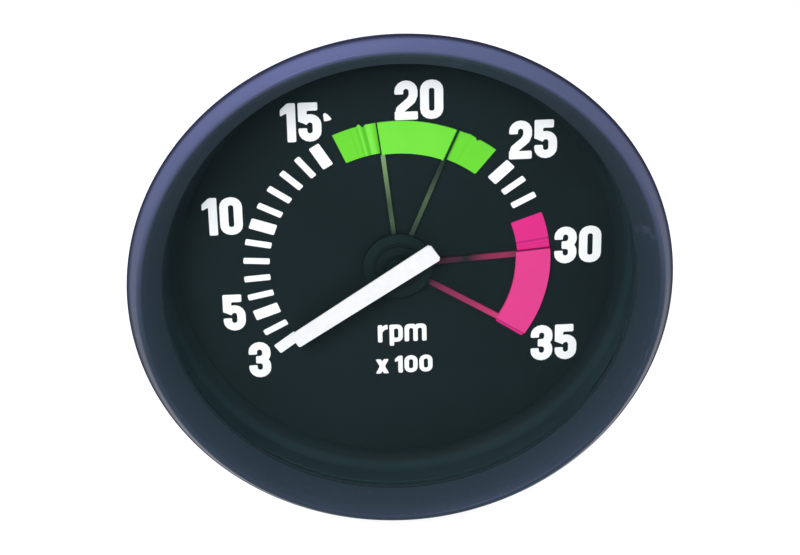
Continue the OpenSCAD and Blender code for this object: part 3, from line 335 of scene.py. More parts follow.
def softened(node, radius, flat=math.radians(0.6), sharp=math.radians(38)):
    """A copy of a node with its flat faces whole and its sharp edges rounded, as a moulding has them."""
    bm = merged(frame["nodes"][node].data)
    bmesh.ops.dissolve_limit(bm, angle_limit=flat, verts=bm.verts, edges=bm.edges)
    bm.normal_update()
    edges = [e for e in bm.edges if len(e.link_faces) == 2 and e.calc_face_angle() > sharp]
    bmesh.ops.bevel(
        bm, geom=edges, offset=radius, offset_type="OFFSET", segments=2, profile=0.5, affect="EDGES",
        clamp_overlap=True,
    )
    piece = piece_of(node + "_form", bm)
    even = piece.modifiers.new("even shading", "WEIGHTED_NORMAL")
    even.keep_sharp = True
    return piece


def front_outlines(node):
    """The closed outlines of a flat node's front face, as points on the dial."""
    bm = merged(frame["nodes"][node].data)
    bm.normal_update()
    front = {face for face in bm.faces if face.normal.y < -0.9}
    rim = [e for e in bm.edges if sum(face in front for face in e.link_faces) == 1]
    left = set(rim)
    outlines = []
    for start in rim:
        if start not in left:
            continue
        left.remove(start)
        first, here = start.verts
        outline = [first]
        while here != first:
            outline.append(here)
            edge = next(e for e in here.link_edges if e in left)
            left.remove(edge)
            here = edge.other_vert(here)
        outlines.append([(v.co.x, v.co.z) for v in outline])
    bm.free()
    return [straightened(outline) for outline in outlines]


def straightened(outline, least=math.radians(0.5)):
    """An outline without the points that lie on its straight stretches."""
    kept = []
    for i, point in enumerate(outline):
        here = Vector(point)
        before = Vector(outline[i - 1]) - here
        after = Vector(outline[(i + 1) % len(outline)]) - here
        if math.pi - before.angle(after) > least:
            kept.append(point)
    return kept


def nicked(outline, nicks, step=0.2 * MM):
    """An outline whose outer arc has nicks, each an angle, a half width and a depth in millimetres."""
    outer = max(math.hypot(*point) for point in outline)
    fine = []
    for i, point in enumerate(outline):
        following = outline[(i + 1) % len(outline)]
        on_arc = min(math.hypot(*point), math.hypot(*following)) > outer - 0.02 * MM
        parts = max(1, round(math.dist(point, following) / step)) if on_arc else 1
        for k in range(parts):
            x, y = (a + (b - a) * k / parts for a, b in zip(point, following))
            r = math.hypot(x, y)
            scale = 1.0
            for turn, half, depth in nicks:
                aside = r * abs(math.atan2(y, x) - math.radians(turn)) / MM
                if on_arc and aside < half:
                    scale -= depth * MM / r * (1 - aside / half)
            fine.append((x * scale, y * scale))
    return fine


def printed(node, radius, nicks=()):
    """A node's print with its corners rounded, as ink lies."""
    back, front = far(node), near(node)
    curve = bpy.data.curves.new(node + "_form", "CURVE")
    curve.dimensions = "2D"
    curve.fill_mode = "BOTH"
    curve.extrude = (front - back) / 2
    for outline in front_outlines(node):
        soft = soft_corners(nicked(outline, nicks) if nicks else outline, radius)
        spline = curve.splines.new("POLY")
        spline.points.add(len(soft) - 1)
        for point, (x, y) in zip(spline.points, soft):
            point.co = (x, y, 0, 1)
        spline.use_cyclic_u = True
    drawn = bpy.data.objects.new(node + "_drawn", curve)
    mesh = bpy.data.meshes.new_from_object(drawn)
    bpy.data.objects.remove(drawn)
    mesh.transform(Matrix.Translation(place(0, 0, (front + back) / 2)) @ Matrix.Rotation(math.pi / 2, 4, "X"))
    return piece_of(node + "_form", merged(mesh))


def stand_in(piece, node):
    """A piece takes the place, the body and the finish of a node."""
    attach(piece, BODY_OF[node])
    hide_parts(node)
    coat(piece, SLOT_OF[node])


def join_in(piece, node, slot):
    """A small piece beside a node moves with its body, and has the finish of a slot."""
    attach(piece, BODY_OF[node])
    coat(piece, slot)


def coat(piece, slot):
    """Gives a piece the finish of a slot."""
    material = finish_of(slot)
    if not piece.material_slots:
        piece.data.materials.append(material)
    for held in piece.material_slots:
        held.material = material


def coat_nodes(*nodes):
    """Gives nodes that keep their own shape the finish of their slots."""
    for node in nodes:
        coat(frame["nodes"][node], SLOT_OF[node])


def soften_nodes(radii):
    """Replaces nodes by copies with rounded edges; the radii are in millimetres."""
    for node, radius in radii.items():
        stand_in(softened(node, radius * MM), node)


# Finishes


class Shader:
    """Adds nodes to a tree; an input is a value or another node's output."""

    def __init__(self, tree):
        self.tree = tree

    def add(self, kind, inputs=None, **settings):
        made = self.tree.nodes.new(kind)
        for name, value in settings.items():
            setattr(made, name, value)
        for name, value in (inputs or {}).items():
            socket = made.inputs[name]
            if isinstance(value, bpy.types.NodeSocket):
                self.tree.links.new(value, socket)
            elif socket.type == "RGBA":
                socket.default_value = (*value[:3], 1.0)
            else:
                socket.default_value = value
        return made

    def math(self, operation, a, b=0.0):
        return self.add("ShaderNodeMath", {0: a, 1: b}, operation=operation).outputs[0]

    def times(self, first, *others):
        for other in others:
            first = self.math("MULTIPLY", first, other)
        return first

    def vector(self, operation, inputs):
        return self.add("ShaderNodeVectorMath", inputs, operation=operation).outputs

    def spread(self, value, low, high, to_low=0.0, to_high=1.0):
        """A value's run from low to high, laid over another run and held at its ends."""
        return self.add("ShaderNodeMapRange", {0: value, 1: low, 2: high, 3: to_low, 4: to_high}).outputs[0]

    def mix(self, part, first, second):
        return self.add("ShaderNodeMix", {0: part, 6: first, 7: second}, data_type="RGBA").outputs[2]

    def curve(self, value, stops):
        """A value that runs through stops, each a place and its level, with even runs between them."""
        first, last = stops[0][0], stops[-1][0]
        made = self.add("ShaderNodeValToRGB", {0: self.spread(value, first, last)})
        elements = made.color_ramp.elements
        for at, _ in stops[1:-1]:
            elements.new((at - first) / (last - first))
        for element, (_, level) in zip(elements, stops):
            element.color = (level, level, level, 1)
        return made.outputs[0]

    def where(self):
        """The place on the object, in metres."""
        return self.add("ShaderNodeTexCoord").outputs["Object"]

    def parts(self, vector):
        return self.add("ShaderNodeSeparateXYZ", {0: vector}).outputs

    def noise(self, scale, detail=3.0, roughness=0.55, at=None):
        inputs = {"Vector": at or self.where(), "Scale": scale, "Detail": detail, "Roughness": roughness}
        return self.add("ShaderNodeTexNoise", inputs).outputs[0]

    def blend(self, part, first, second):
        """One surface with a part of a second."""
        return self.add("ShaderNodeMixShader", {0: part, 1: first, 2: second}).outputs[0]

    def show(self, surface):
        self.add("ShaderNodeOutputMaterial", {"Surface": surface})


def fine_grain(shader, given):
    """Fine relief of a surface."""
    stretched = shader.vector("MULTIPLY", {0: shader.where(), 1: given["Stretch"]})[0]
    return shader.noise(given["Scale"], 4.0, 0.6, stretched)


# Where most of a noise's values lie
NOISE_RUN = (0.3, 0.7)


def uneven_tone(shader, given):
    """A colour that drifts lighter and darker over the surface."""
    drift = shader.spread(shader.noise(given["Scale"], 4.0), *NOISE_RUN, -1.0, 1.0)
    factor = shader.math("ADD", shader.times(drift, given["Amount"]), 1.0)
    return shader.vector("SCALE", {0: given["Color"], "Scale": factor})[0]


def edge_wear(shader, given):
    """Where edges are rubbed: convex places, broken up."""
    sharp = shader.add("ShaderNodeNewGeometry").outputs["Pointiness"]
    edge = shader.spread(sharp, given["Start"], given["Full"])
    broken = shader.spread(shader.noise(given["Scale"], 5.0, 0.7), 0.42, 0.62)
    return shader.times(edge, broken, given["Amount"])


def settled_dust(shader, given):
    """Where dust lies: specks all over, and more on what looks up."""
    normal = shader.add("ShaderNodeNewGeometry").outputs["Normal"]
    upward = shader.spread(shader.parts(normal)[2], -0.2, 1.0, 0.25, 1.0)
    specks = shader.spread(shader.noise(given["Scale"], 6.0, 0.75), 0.56, 0.72)
    return shader.times(specks, upward, given["Amount"])


def axis_distance(shader, _):
    """Distance of each point from the instrument's axis, in millimetres."""
    flat = shader.vector("MULTIPLY", {0: shader.where(), 1: (1 / MM, 0, 1 / MM)})[0]
    return shader.vector("LENGTH", {0: flat})["Value"]


def radial_line(shader, given):
    """A line out from the axis, by its angle in degrees, its half width in mm and the share that is solid."""
    parts = shader.parts(shader.where())
    turn = shader.math("ARCTAN2", parts[2], parts[0])
    off = shader.math("ABSOLUTE", shader.math("SUBTRACT", turn, shader.math("RADIANS", given["Angle"])))
    aside = shader.times(off, use(shader, "Axis distance"))
    half = given["Half width"]
    return shader.spread(aside, shader.times(half, given["Solid"]), half, 1.0, 0.0)


SOCKET_KINDS = {1: "NodeSocketFloat", 3: "NodeSocketVector", 4: "NodeSocketColor"}
# Each shared effect: what builds it, what it takes with its usual values, and what it gives
EFFECTS = {
    "Fine grain": (fine_grain, {"Scale": 1500.0, "Stretch": (1, 1, 1)}, "Height"),
    "Uneven tone": (uneven_tone, {"Color": (0.5, 0.5, 0.5, 1), "Amount": 0.1, "Scale": 60.0}, "Color"),
    "Edge wear": (edge_wear, {"Amount": 0.5, "Scale": 500.0, "Start": 0.51, "Full": 0.56}, "Mask"),
    "Settled dust": (settled_dust, {"Amount": 0.2, "Scale": 900.0}, "Mask"),
    "Axis distance": (axis_distance, {}, "Radius"),
    "Radial line": (radial_line, {"Angle": 0.0, "Half width": 0.2, "Solid": 0.3}, "Mask"),
}


def effect_group(name):
    """The node group of a shared effect, built the first time that it is asked for."""
    tree = bpy.data.node_groups.get(name)
    if tree:
        return tree
    build, usual, output = EFFECTS[name]
    tree = bpy.data.node_groups.new(name, "ShaderNodeTree")
    for label, value in usual.items():
        kind = SOCKET_KINDS[len(value) if isinstance(value, tuple) else 1]
        tree.interface.new_socket(label, in_out="INPUT", socket_type=kind).default_value = value
    kind = SOCKET_KINDS[4 if output == "Color" else 1]
    tree.interface.new_socket(output, in_out="OUTPUT", socket_type=kind)
    made = build(Shader(tree), tree.nodes.new("NodeGroupInput").outputs)
    tree.links.new(made, tree.nodes.new("NodeGroupOutput").inputs[output])
    return tree


def use(shader, name, inputs=None):
    """What a shared effect gives, placed in a tree."""
    return shader.add("ShaderNodeGroup", inputs, node_tree=effect_group(name)).outputs[0]


def new_material(name):
    """A material with an empty tree, and the tool that fills it."""
    material = bpy.data.materials.new(name)
    material.use_nodes = True
    material.node_tree.nodes.clear()
    return material, Shader(material.node_tree)


def lighter(tone, times):
    """A colour some times as light."""
    return tuple(min(1.0, times * part) for part in tone)


DUST = seen(150, 150, 146)
# How far the roughness drifts either way with the grain
GLOSS_DRIFT = 0.05


def finish(name, tone, rough, fixed=None, specular=0.5, metal=0.0, grain=1800.0, stretch=(1, 1, 1),
           relief=0.006, drift=0.08, patch=70.0, worn=None, wear=0.5, dust=0.1, ground=None, height=None,
           matt=None):
    """A full finish: uneven colour, rubbed edges, dust, and grain in its relief and gloss.

    tone is the colour, or ground is a function that makes it from nodes. height is another relief to add,
    and matt more roughness. worn is the colour of rubbed edges, or how many times as light they are. The
    relief is in millimetres, and fixed sets the shader's other sockets.
    """
    material, shader = new_material(name)
    base = ground(shader) if ground else tone
    skin = use(shader, "Uneven tone", {"Color": base, "Amount": drift, "Scale": patch})
    if worn:
        bare = lighter(tone, worn) if isinstance(worn, float) else worn
        skin = shader.mix(use(shader, "Edge wear", {"Amount": wear}), skin, bare)
    dusty = use(shader, "Settled dust", {"Amount": dust})
    skin = shader.mix(dusty, skin, DUST)
    fine = use(shader, "Fine grain", {"Scale": grain, "Stretch": stretch})
    drifting = shader.spread(fine, *NOISE_RUN, rough - GLOSS_DRIFT, rough + GLOSS_DRIFT)
    gloss = shader.math("ADD", drifting, dusty)
    if matt:
        gloss = shader.math("ADD", gloss, matt(shader))
    bump = shader.add("ShaderNodeBump", {"Height": fine, "Strength": 1.0, "Distance": relief * MM}).outputs[0]
    if height:
        raised = {"Height": height(shader), "Normal": bump, "Strength": 1.0, "Distance": MM}
        bump = shader.add("ShaderNodeBump", raised).outputs[0]
    sockets = {
        "Base Color": skin, "Roughness": gloss, "Normal": bump, "Metallic": metal,
        "Specular IOR Level": specular, **(fixed or {}),
    }
    shader.show(shader.add("ShaderNodeBsdfPrincipled", sockets).outputs[0])
    return material


METAL = {
    "metal": 1.0, "grain": 2600.0, "relief": 0.004, "drift": 0.1, "patch": 160.0, "worn": 1.3, "wear": 0.6,
    "dust": 0.06,
}


def plain_finishes():
    """The slots of one colour each: the material's name, its colour, its roughness and the rest."""
    scene = bpy.context.scene
    case, movement = scene.tacho_case, scene.tacho_movement
    return {
        "case_steel": ("dulled zinc on drawn steel", case.zinc, 0.42, {
            "metal": 0.85, "grain": 900.0, "stretch": (1, 6, 1), "drift": 0.16, "patch": 55.0,
            "worn": seen(190, 192, 193), "wear": 0.7, "dust": 0.2}),
        "dial_black": ("matt dial ground", scene.tacho_dial.ground, 0.7, {
            "specular": 0.04, "grain": 2400.0, "relief": 0.001, "drift": 0.12, "patch": 22.0, "dust": 0.01}),
        "pointer_white": ("white pointer paint", scene.tacho_pointer.white, 0.45, {
            "specular": 0.3, "grain": 2600.0, "relief": 0.003, "drift": 0.02, "patch": 200.0,
            "worn": seen(214, 216, 220), "wear": 0.25, "dust": 0.03}),
        # Painted reflection: this black and the blackened steel below hold the faint straight reflection that
        # is taken off the pane
        "black_plastic": ("black moulding", seen(21, 34, 36), 0.6, {
            "specular": 0.08, "grain": 2200.0, "relief": 0.003, "dust": 0.02}),
        "white_plastic": ("white moulding", seen(224, 223, 214), 0.5, {
            "grain": 1900.0, "drift": 0.035, "patch": 60.0, "dust": 0.06}),
        "black_steel": ("blackened spring steel", seen(21, 34, 36), 0.6, {
            "specular": 0.1, "grain": 2600.0, "relief": 0.003, "dust": 0.02}),
        "bright_steel": ("bright steel", movement.steel, 0.28, METAL),
        "zinc_steel": ("zinc-plated steel", seen(170, 168, 156), 0.34, {**METAL, "drift": 0.16}),
        "brass": ("plain brass", case.brass, 0.32, {**METAL, "drift": 0.14}),
        "magnet_grey": ("sintered magnet", seen(92, 92, 96), 0.55, {
            "metal": 0.6, "grain": 3200.0, "relief": 0.012, "drift": 0.12}),
        "bobbin_plastic": ("dark bobbin moulding", movement.bobbin, 0.45, {"grain": 1700.0, "drift": 0.1}),
        "copper_wire": ("enamelled copper", movement.copper, 0.28, {
            "fixed": {"Coat Weight": 0.6, "Coat Roughness": 0.12}, "metal": 0.8, "grain": 2600.0,
            "relief": 0.004, "drift": 0.16, "patch": 700.0, "dust": 0.02}),
        "chip_black": ("moulded chip", seen(40, 40, 43), 0.6, {
            "grain": 2600.0, "relief": 0.012, "drift": 0.1}),
        "capacitor_blue": ("sleeved can", seen(48, 66, 124), 0.3, {
            "fixed": {"Coat Weight": 0.5, "Coat Roughness": 0.1}, "grain": 900.0}),
        "trimmer_blue": ("blue moulding", seen(42, 84, 170), 0.4, {"grain": 1900.0, "relief": 0.005}),
        "block_plastic": ("insulating moulding", case.block, 0.52, {
            "grain": 1500.0, "relief": 0.012, "drift": 0.07, "dust": 0.18}),
    }


# Bands of the bezel's painted shade by the lip, painted highlight on the crest, painted shade on the rear
# edge and matt paint, from their start to where they are full: in millimetres outward from the lip's edge, or
# inward from the rear edge
SHADE_BAND = (0.0, 3.0)
CREST_HIGHLIGHT_BAND = (3.1, 2.3)
EDGE_SHADE_BAND = (0.65, 0.25)
MATT_LIP_BAND = (2.5, 4.2)
MATT_EDGE_BAND = (1.0, 0.5)
# How much rougher the paint is by the lip and along the rear edge
LIP_MATT = 0.36
EDGE_MATT = 0.4


def bezel_paint():
    """Satin paint, matt by lip and rear edge, with painted shade there and a painted highlight on the upper
    crest.
    """
    look = bpy.context.scene.tacho_bezel

    def from_lip(shader, band, *to):
        return shader.spread(use(shader, "Axis distance"), *(look.lip_r / MM + at for at in band), *to)

    def from_edge(shader, band, *to):
        return shader.spread(use(shader, "Axis distance"), *(look.outer_r / MM - at for at in band), *to)

    def ground(shader):
        # Painted shade by the lip and on the rear edge, and a painted highlight on the upper crest
        cone = shader.mix(from_lip(shader, SHADE_BAND), look.shade, look.paint)
        upper_highlight_share = shader.spread(shader.parts(shader.where())[2], look.polish_low, look.polish_high)
        crest_highlight_share = shader.times(from_edge(shader, CREST_HIGHLIGHT_BAND), upper_highlight_share)
        return shader.mix(from_edge(shader, EDGE_SHADE_BAND), shader.mix(crest_highlight_share, cone, look.crest), look.edge)

    def matt(shader):
        by_lip = from_lip(shader, MATT_LIP_BAND, LIP_MATT, 0.0)
        return shader.math("ADD", by_lip, from_edge(shader, MATT_EDGE_BAND, 0.0, EDGE_MATT))

    return finish(
        "satin bezel paint", look.paint, 0.42, {"Specular Tint": look.sheen}, 0.42, grain=2600.0,
        relief=0.002, drift=0.06, patch=45.0, worn=look.bare, wear=0.25, dust=0.05, ground=ground, matt=matt,
    )


def glass(name, tint, rough, through, ior, reflected):
    """Glass that light passes straight through; reflected turns the Fresnel into its reflection's share."""
    material, shader = new_material(name)
    gloss = shader.add("ShaderNodeBsdfAnisotropic", {"Color": tint, "Roughness": rough}).outputs[0]
    clear = shader.add("ShaderNodeBsdfTransparent", {"Color": through}).outputs[0]
    fresnel = shader.add("ShaderNodeFresnel", {"IOR": ior}).outputs[0]
    shader.show(shader.blend(reflected(shader, fresnel), clear, gloss))
    return material


# How strongly each glass mirrors, and what is taken off so that a straight look finds the pane clear; that
# part of the pane's reflection is painted instead into the colours behind it
PANE_IOR = 1.11
BULB_IOR = 1.45
STRAIGHT_REFLECTION = 0.0035


def clear_glass():
    """Clear pane: its front reflects what it meets at a slant, and smudges strengthen that."""

    def reflected(shader, fresnel):
        slanting = shader.math("MAXIMUM", shader.math("SUBTRACT", fresnel, STRAIGHT_REFLECTION), 0.0)
        front = shader.math("SUBTRACT", 1.0, shader.add("ShaderNodeNewGeometry").outputs["Backfacing"])
        smudge = shader.spread(shader.noise(28.0, 5.0, 0.7), 0.45, 0.75, 1.0, 1.25)
        return shader.times(slanting, front, smudge)

    tint = bpy.context.scene.tacho_glass.tint
    return glass("clear pane", tint, 0.04, (0.994, 1.0, 0.997), PANE_IOR, reflected)


def bulb_glass():
    """Thin clear glass with a slight haze."""

    def reflected(shader, fresnel):
        return shader.math("ADD", fresnel, shader.spread(shader.noise(300.0), 0.4, 0.7, 0.0, 0.12))

    return glass("clear bulb", (1, 1, 1), 0.03, (0.93, 0.93, 0.9), BULB_IOR, reflected)


# Where the seal's edge shows and carries painted light against the lip's shade, from inside the lip's edge to
# under it, in millimetres
SEAL_INNER = (-5.0, -4.0)
SEAL_OUTER = (0.5, 1.0)


def seal_rubber():
    """Black rubber, lightened by painted light where its edge shows in the shade inside the lip."""
    look = bpy.context.scene.tacho_case
    lip = bpy.context.scene.tacho_bezel.lip_r / MM

    def ground(shader):
        radius = use(shader, "Axis distance")
        inner = shader.spread(radius, *(lip + at for at in SEAL_INNER))
        outer = shader.spread(radius, *(lip + at for at in SEAL_OUTER), 1.0, 0.0)
        return shader.mix(shader.times(inner, outer), look.rubber, look.seal)

    return finish(
        "black rubber", look.rubber, 0.65, specular=0.1, grain=2200.0, relief=0.008, drift=0.12, dust=0.08,
        ground=ground,
    )


# Where the cove's painted shade turns into the mask's colour: in millimetres outward from its foot, and
# inward from the wall
COVE_SHADE_START = 1.8
COVE_SHADE_END = 0.1


def mask_black():
    """Deep black moulding, with painted shade in the curve that meets the dial and painted light on its
    shaded wall.
    """
    look = bpy.context.scene.tacho_glass

    def ground(shader):
        radius = use(shader, "Axis distance")
        # Painted shade: the cove colour darkens the curve towards its foot
        outward = shader.spread(radius, look.mask_foot / MM + COVE_SHADE_START, look.mask_in / MM - COVE_SHADE_END)
        return shader.mix(outward, look.cove, look.mask)

    return finish(
        "deep mask moulding", look.mask, 0.6, specular=0.06, grain=2400.0, relief=0.001, dust=0.02,
        ground=ground,
    )


# Painted shade in the film's folds and painted light on its rises: the angle in degrees, the half width in
# millimetres and the strength of each
GREEN_RISE_LIGHTS = ((100.2, 0.95, 0.9), (103.4, 0.35, 0.6))
GREEN_FOLD_SHADES = ((101.9, 0.55, 0.9), (104.3, 0.35, 0.4), (61.6, 0.5, 0.12), (106.8, 0.3, 0.2))
PINK_FOLD_SHADES = ((8.6, 0.32, 0.8), (6.9, 0.25, 0.35))


def print_finish(name, tone, *painted_fold_sets):
    """Print or film: even colour with a faint grain; each set is a tone of painted shade or painted light,
    laid along its radial folds.
    """

    def ground(shader):
        whole = tone
        for painted_fold_tone, folds in painted_fold_sets:
            for turn, half, strength in folds:
                line = use(shader, "Radial line", {"Angle": turn, "Half width": half})
                whole = shader.mix(shader.times(line, strength), whole, painted_fold_tone)
        return whole

    return finish(
        name, tone, 0.55, specular=0.25, grain=4200.0, relief=0.003, drift=0.025, patch=220.0, dust=0.02,
        ground=ground,
    )


def print_white():
    """The scale, the figures and the lettering."""
    return print_finish("white print", bpy.context.scene.tacho_dial.white)


def print_green():
    """The green band, with painted shade in the folds of its film and painted light on its rises."""
    look = bpy.context.scene.tacho_dial
    rise_lights, folds = (look.green_rise, GREEN_RISE_LIGHTS), (look.green_fold, GREEN_FOLD_SHADES)
    return print_finish("green print", look.green, rise_lights, folds)


def print_pink():
    """The magenta band, with painted shade in a fold of its film."""
    look = bpy.context.scene.tacho_dial
    return print_finish("magenta print", look.pink, (look.pink_fold, PINK_FOLD_SHADES))


# The share of arm colour, over the rings' dark, along the two arms of each marker, at radii in millimetres
GREEN_ARM_LEVELS = (
    ((5.8, 0.0), (8.0, 0.11), (16.0, 0.29), (21.0, 0.1), (25.0, 0.03)),
    ((5.8, 0.0), (10.0, 0.26), (14.0, 0.2), (24.0, 0.9)),
)
PINK_ARM_LEVELS = (
    ((7.3, 0.0), (8.2, 0.14), (11.0, 0.36), (18.0, 0.56), (24.5, 1.0)),
    ((7.3, 0.0), (8.2, 0.1), (12.5, 0.08), (14.0, 0.0), (18.0, 0.36), (22.0, 0.47), (25.0, 0.28)),
)
# Half the width, in millimetres, within which a point counts as on the second arm
BESIDE_ARM = 4.0


def marker_extent(node, strip_w):
    """Inner radius of a marker's strip in millimetres, and the angles of its two ends."""
    points = [(math.hypot(v.co.x, v.co.z), v.co) for v in frame["nodes"][node].data.vertices]
    inner = max(r for r, _ in points) - strip_w
    turns = [math.degrees(math.atan2(co.z, co.x)) for r, co in points if r > inner]
    return inner / MM, (min(turns), max(turns))


def marker_finish(hue, node, widths, arm_levels):
    """Painted strip with painted shadows across its ends, of these relative widths, on arms whose colour runs
    to the rings' dark at given radii.
    """
    look = bpy.context.scene.tacho_marker
    strip, arm, end_shadow_tone = (getattr(look, hue + part) for part in ("", "_arm", "_end"))
    inner, ends = marker_extent(node, look.strip_w)

    def ground(shader):
        radius = use(shader, "Axis distance")
        beside = use(shader, "Radial line", {"Angle": ends[1], "Half width": BESIDE_ARM})
        arm_level = shader.mix(beside, shader.curve(radius, arm_levels[0]), shader.curve(radius, arm_levels[1]))
        arms = shader.mix(arm_level, look.ring, arm)
        whole = strip
        # Painted shadow across each end of the strip
        for end, width in zip(ends, widths):
            line = {"Angle": end, "Half width": width * look.end_w / MM, "Solid": 0.7}
            whole = shader.mix(use(shader, "Radial line", line), whole, end_shadow_tone)
        return shader.mix(shader.spread(radius, inner - 0.1, inner), arms, whole)

    return finish(
        hue + " marker paint", strip, 0.55, specular=0.08, grain=3200.0, relief=0.002, drift=0.03,
        patch=120.0, dust=0.01, ground=ground,
    )


def marker_green():
    """The green marker's strip and arms."""
    return marker_finish("green", "green_marker", (1.1, 0.6), GREEN_ARM_LEVELS)


def marker_pink():
    """The pink marker's strip and arms."""
    return marker_finish("pink", "red_marker", (0.2, 0.42), PINK_ARM_LEVELS)


# The brick pattern whose rows are the board's tracks, in millimetres
TRACKS = {
    "Color1": (0, 0, 0), "Color2": (1, 1, 1), "Mortar": (0, 0, 0), "Bias": 0.0, "Scale": 1 / MM,
    "Mortar Size": 0.35, "Mortar Smooth": 0.1, "Brick Width": 7.5, "Row Height": 1.9,
}
TRACK_DEPTH = 0.02


def board_green():
    """Green lacquer, lighter and raised over the copper tracks."""
    look = bpy.context.scene.tacho_movement

    def gaps(shader):
        parts = shader.parts(shader.where())
        level = shader.add("ShaderNodeCombineXYZ", {0: parts[0], 1: parts[2]}).outputs[0]
        rows = shader.add("ShaderNodeTexBrick", {"Vector": level, **TRACKS}, offset=0.37, offset_frequency=3)
        return shader.spread(rows.outputs["Color"], 0.42, 0.5, 1.0, 0.0)

    def ground(shader):
        return shader.mix(gaps(shader), lighter(look.board, 1.9), look.board)

    def height(shader):
        return shader.times(gaps(shader), -TRACK_DEPTH)

    return finish(
        "green board lacquer", look.board, 0.3, {"Coat Weight": 0.4, "Coat Roughness": 0.2}, grain=1400.0,
        relief=0.01, dust=0.05, ground=ground, height=height,
    )


# Half the spacing of a resistor's colour rings, and where a ring starts within it, in millimetres
RING_HALF_STEP = 0.8
RING_START = 0.55


def resistor_tan():
    """Lacquered body with colour rings across it."""
    body = seen(205, 180, 138)

    def ground(shader):
        along = shader.times(shader.parts(shader.where())[0], 1 / MM)
        rings = shader.math("GREATER_THAN", shader.math("PINGPONG", along, RING_HALF_STEP), RING_START)
        return shader.mix(rings, body, seen(112, 62, 40))

    return finish("lacquered resistor", body, 0.35, ground=ground)


FINISHES = {
    build.__name__: build for build in (
        bezel_paint, clear_glass, bulb_glass, seal_rubber, mask_black, print_white, print_green, print_pink,
        marker_green, marker_pink, board_green, resistor_tan,
    )
}
made_finishes = {}


def finish_of(slot):
    """The material of a slot, built the first time that it is asked for."""
    if slot not in made_finishes:
        if slot in FINISHES:
            made_finishes[slot] = FINISHES[slot]()
        else:
            name, tone, rough, rest = plain_finishes()[slot]
            made_finishes[slot] = finish(name, tone, rough, **rest)
    return made_finishes[slot]


# Front


# How far the hollow inside the ring stays under the middle of the crest's round
HOLLOW_DROP = 0.3 * MM


def bezel_profile(look):
    """Section of the bezel: outer cone, round crest, inner cone with its lip, and the crimped rear edge."""
    slope = math.degrees(look.cone)
    run = 1 / math.tan(look.cone)
    across = look.sheet / math.sin(look.cone)
    crest_z = look.crest_out - look.crest_round
    over_lip = crest_z - look.lip_out
    crest_r = look.lip_r + (over_lip * math.cos(look.cone) + look.crest_round) / math.sin(look.cone)
    edge_r, edge_z = look.outer_r - look.edge_round, look.back_out + look.edge_round
    back_r, back_z = edge_r - crest_r, edge_z - crest_z
    taper = (look.crest_round - look.edge_round) / math.hypot(back_r, back_z)
    normal = math.atan2(back_z, back_r) + math.acos(taper)
    outer = math.degrees(normal)
    flange = look.back_out + look.sheet
    hollow_top = crest_z - HOLLOW_DROP

    def cone_back(z):
        return look.lip_r + run * (z - look.lip_out) + across

    def outer_back(z):
        return crest_r + (look.crest_round - look.sheet - (z - crest_z) * math.sin(normal)) / math.cos(normal)

    edge = arc(edge_r, edge_z, look.edge_round, look.edge_round, -90, outer, 8)
    crest = arc(crest_r, crest_z, look.crest_round, look.crest_round, outer, 90 + slope, 20)
    lip = [(look.lip_r, look.lip_out), (look.lip_r, look.foot_out), (cone_back(look.foot_out), look.foot_out)]
    hollow = [(cone_back(hollow_top), hollow_top), (outer_back(hollow_top), hollow_top)]
    rear = [(outer_back(flange), flange), (look.crimp_r, flange), (look.crimp_r, look.back_out)]
    return edge + crest + lip + hollow + rear


class TACHO_OT_bezel(Operator):
    """Builds the pressed bezel ring"""
    bl_idname = "tacho.bezel"
    bl_label = "Bezel ring"

    def execute(self, context):
        look = context.scene.tacho_bezel
        profile = soft_corners(bezel_profile(look), look.corner)
        stand_in(turned("bezel", profile, look.steps), "bezel_ring")
        return {"FINISHED"}


def pane(look):
    """The glass, with its edges ground."""
    back, front, outer_r = far("front_glass"), near("front_glass"), reach("front_glass")
    edge = look.corner
    profile = [(0, back), (outer_r - edge, back), (outer_r, back + edge), (outer_r, front - edge),
               (outer_r - edge, front), (0, front)]
    return turned("glass", profile)


def seal(look, lip_r):
    """The flat ring on the glass, whose inner edge shows inside the lip."""
    back, front, outer_r = far("glass_seal"), near("glass_seal"), reach("glass_seal")
    inner_r = lip_r - look.seal_show
    profile = [(outer_r, back), (outer_r, front), (inner_r, front), (inner_r, back)]
    return turned("seal", soft_corners(profile, look.seal_corner))


def mask(look, steps):
    """The wall between glass and dial, with the curve at its foot."""
    back, front, outer_r = far("mask_ring"), near("mask_ring"), reach("mask_ring")
    cove = look.mask_in - look.mask_foot
    curve = arc(look.mask_foot, back + cove + look.mask_edge, cove, cove, 0, -90, 24)
    profile = [(outer_r, back), (outer_r, front), (look.mask_in, front)] + curve + [(look.mask_foot, back)]
    return turned("mask", soft_corners(profile, look.mask_corner), steps)


class TACHO_OT_glass(Operator):
    """Builds the glass, the seal on it and the mask behind it"""
    bl_idname = "tacho.glass"
    bl_label = "Glass, seal and mask"

    def execute(self, context):
        look = context.scene.tacho_glass
        bezel = context.scene.tacho_bezel
        stand_in(pane(look), "front_glass")
        stand_in(seal(look, bezel.lip_r), "glass_seal")
        stand_in(mask(look, bezel.steps), "mask_ring")
        return {"FINISHED"}


class TACHO_OT_case(Operator):
    """Finishes the drawn case and its gasket"""
    bl_idname = "tacho.case"
    bl_label = "Case and gasket"

    def execute(self, context):
        coat_nodes("case_shell", "panel_gasket")
        return {"FINISHED"}


# The fleck's outline round its own middle, in millimetres
FLECK = ((-0.66, 0.7), (-0.3, 1.02), (0.2, 0.7), (0.68, 0.15), (1.02, -0.4), (0.3, -0.7), (-0.5, -0.78))
# Nicks and bulges along the green band's outer edge: angle, half width and depth in millimetres
NICKS = {"green_band": ((103.4, 0.5, -0.45), (102.0, 0.45, 0.5), (58.9, 0.45, 0.55), (62.2, 1.2, -0.15))}


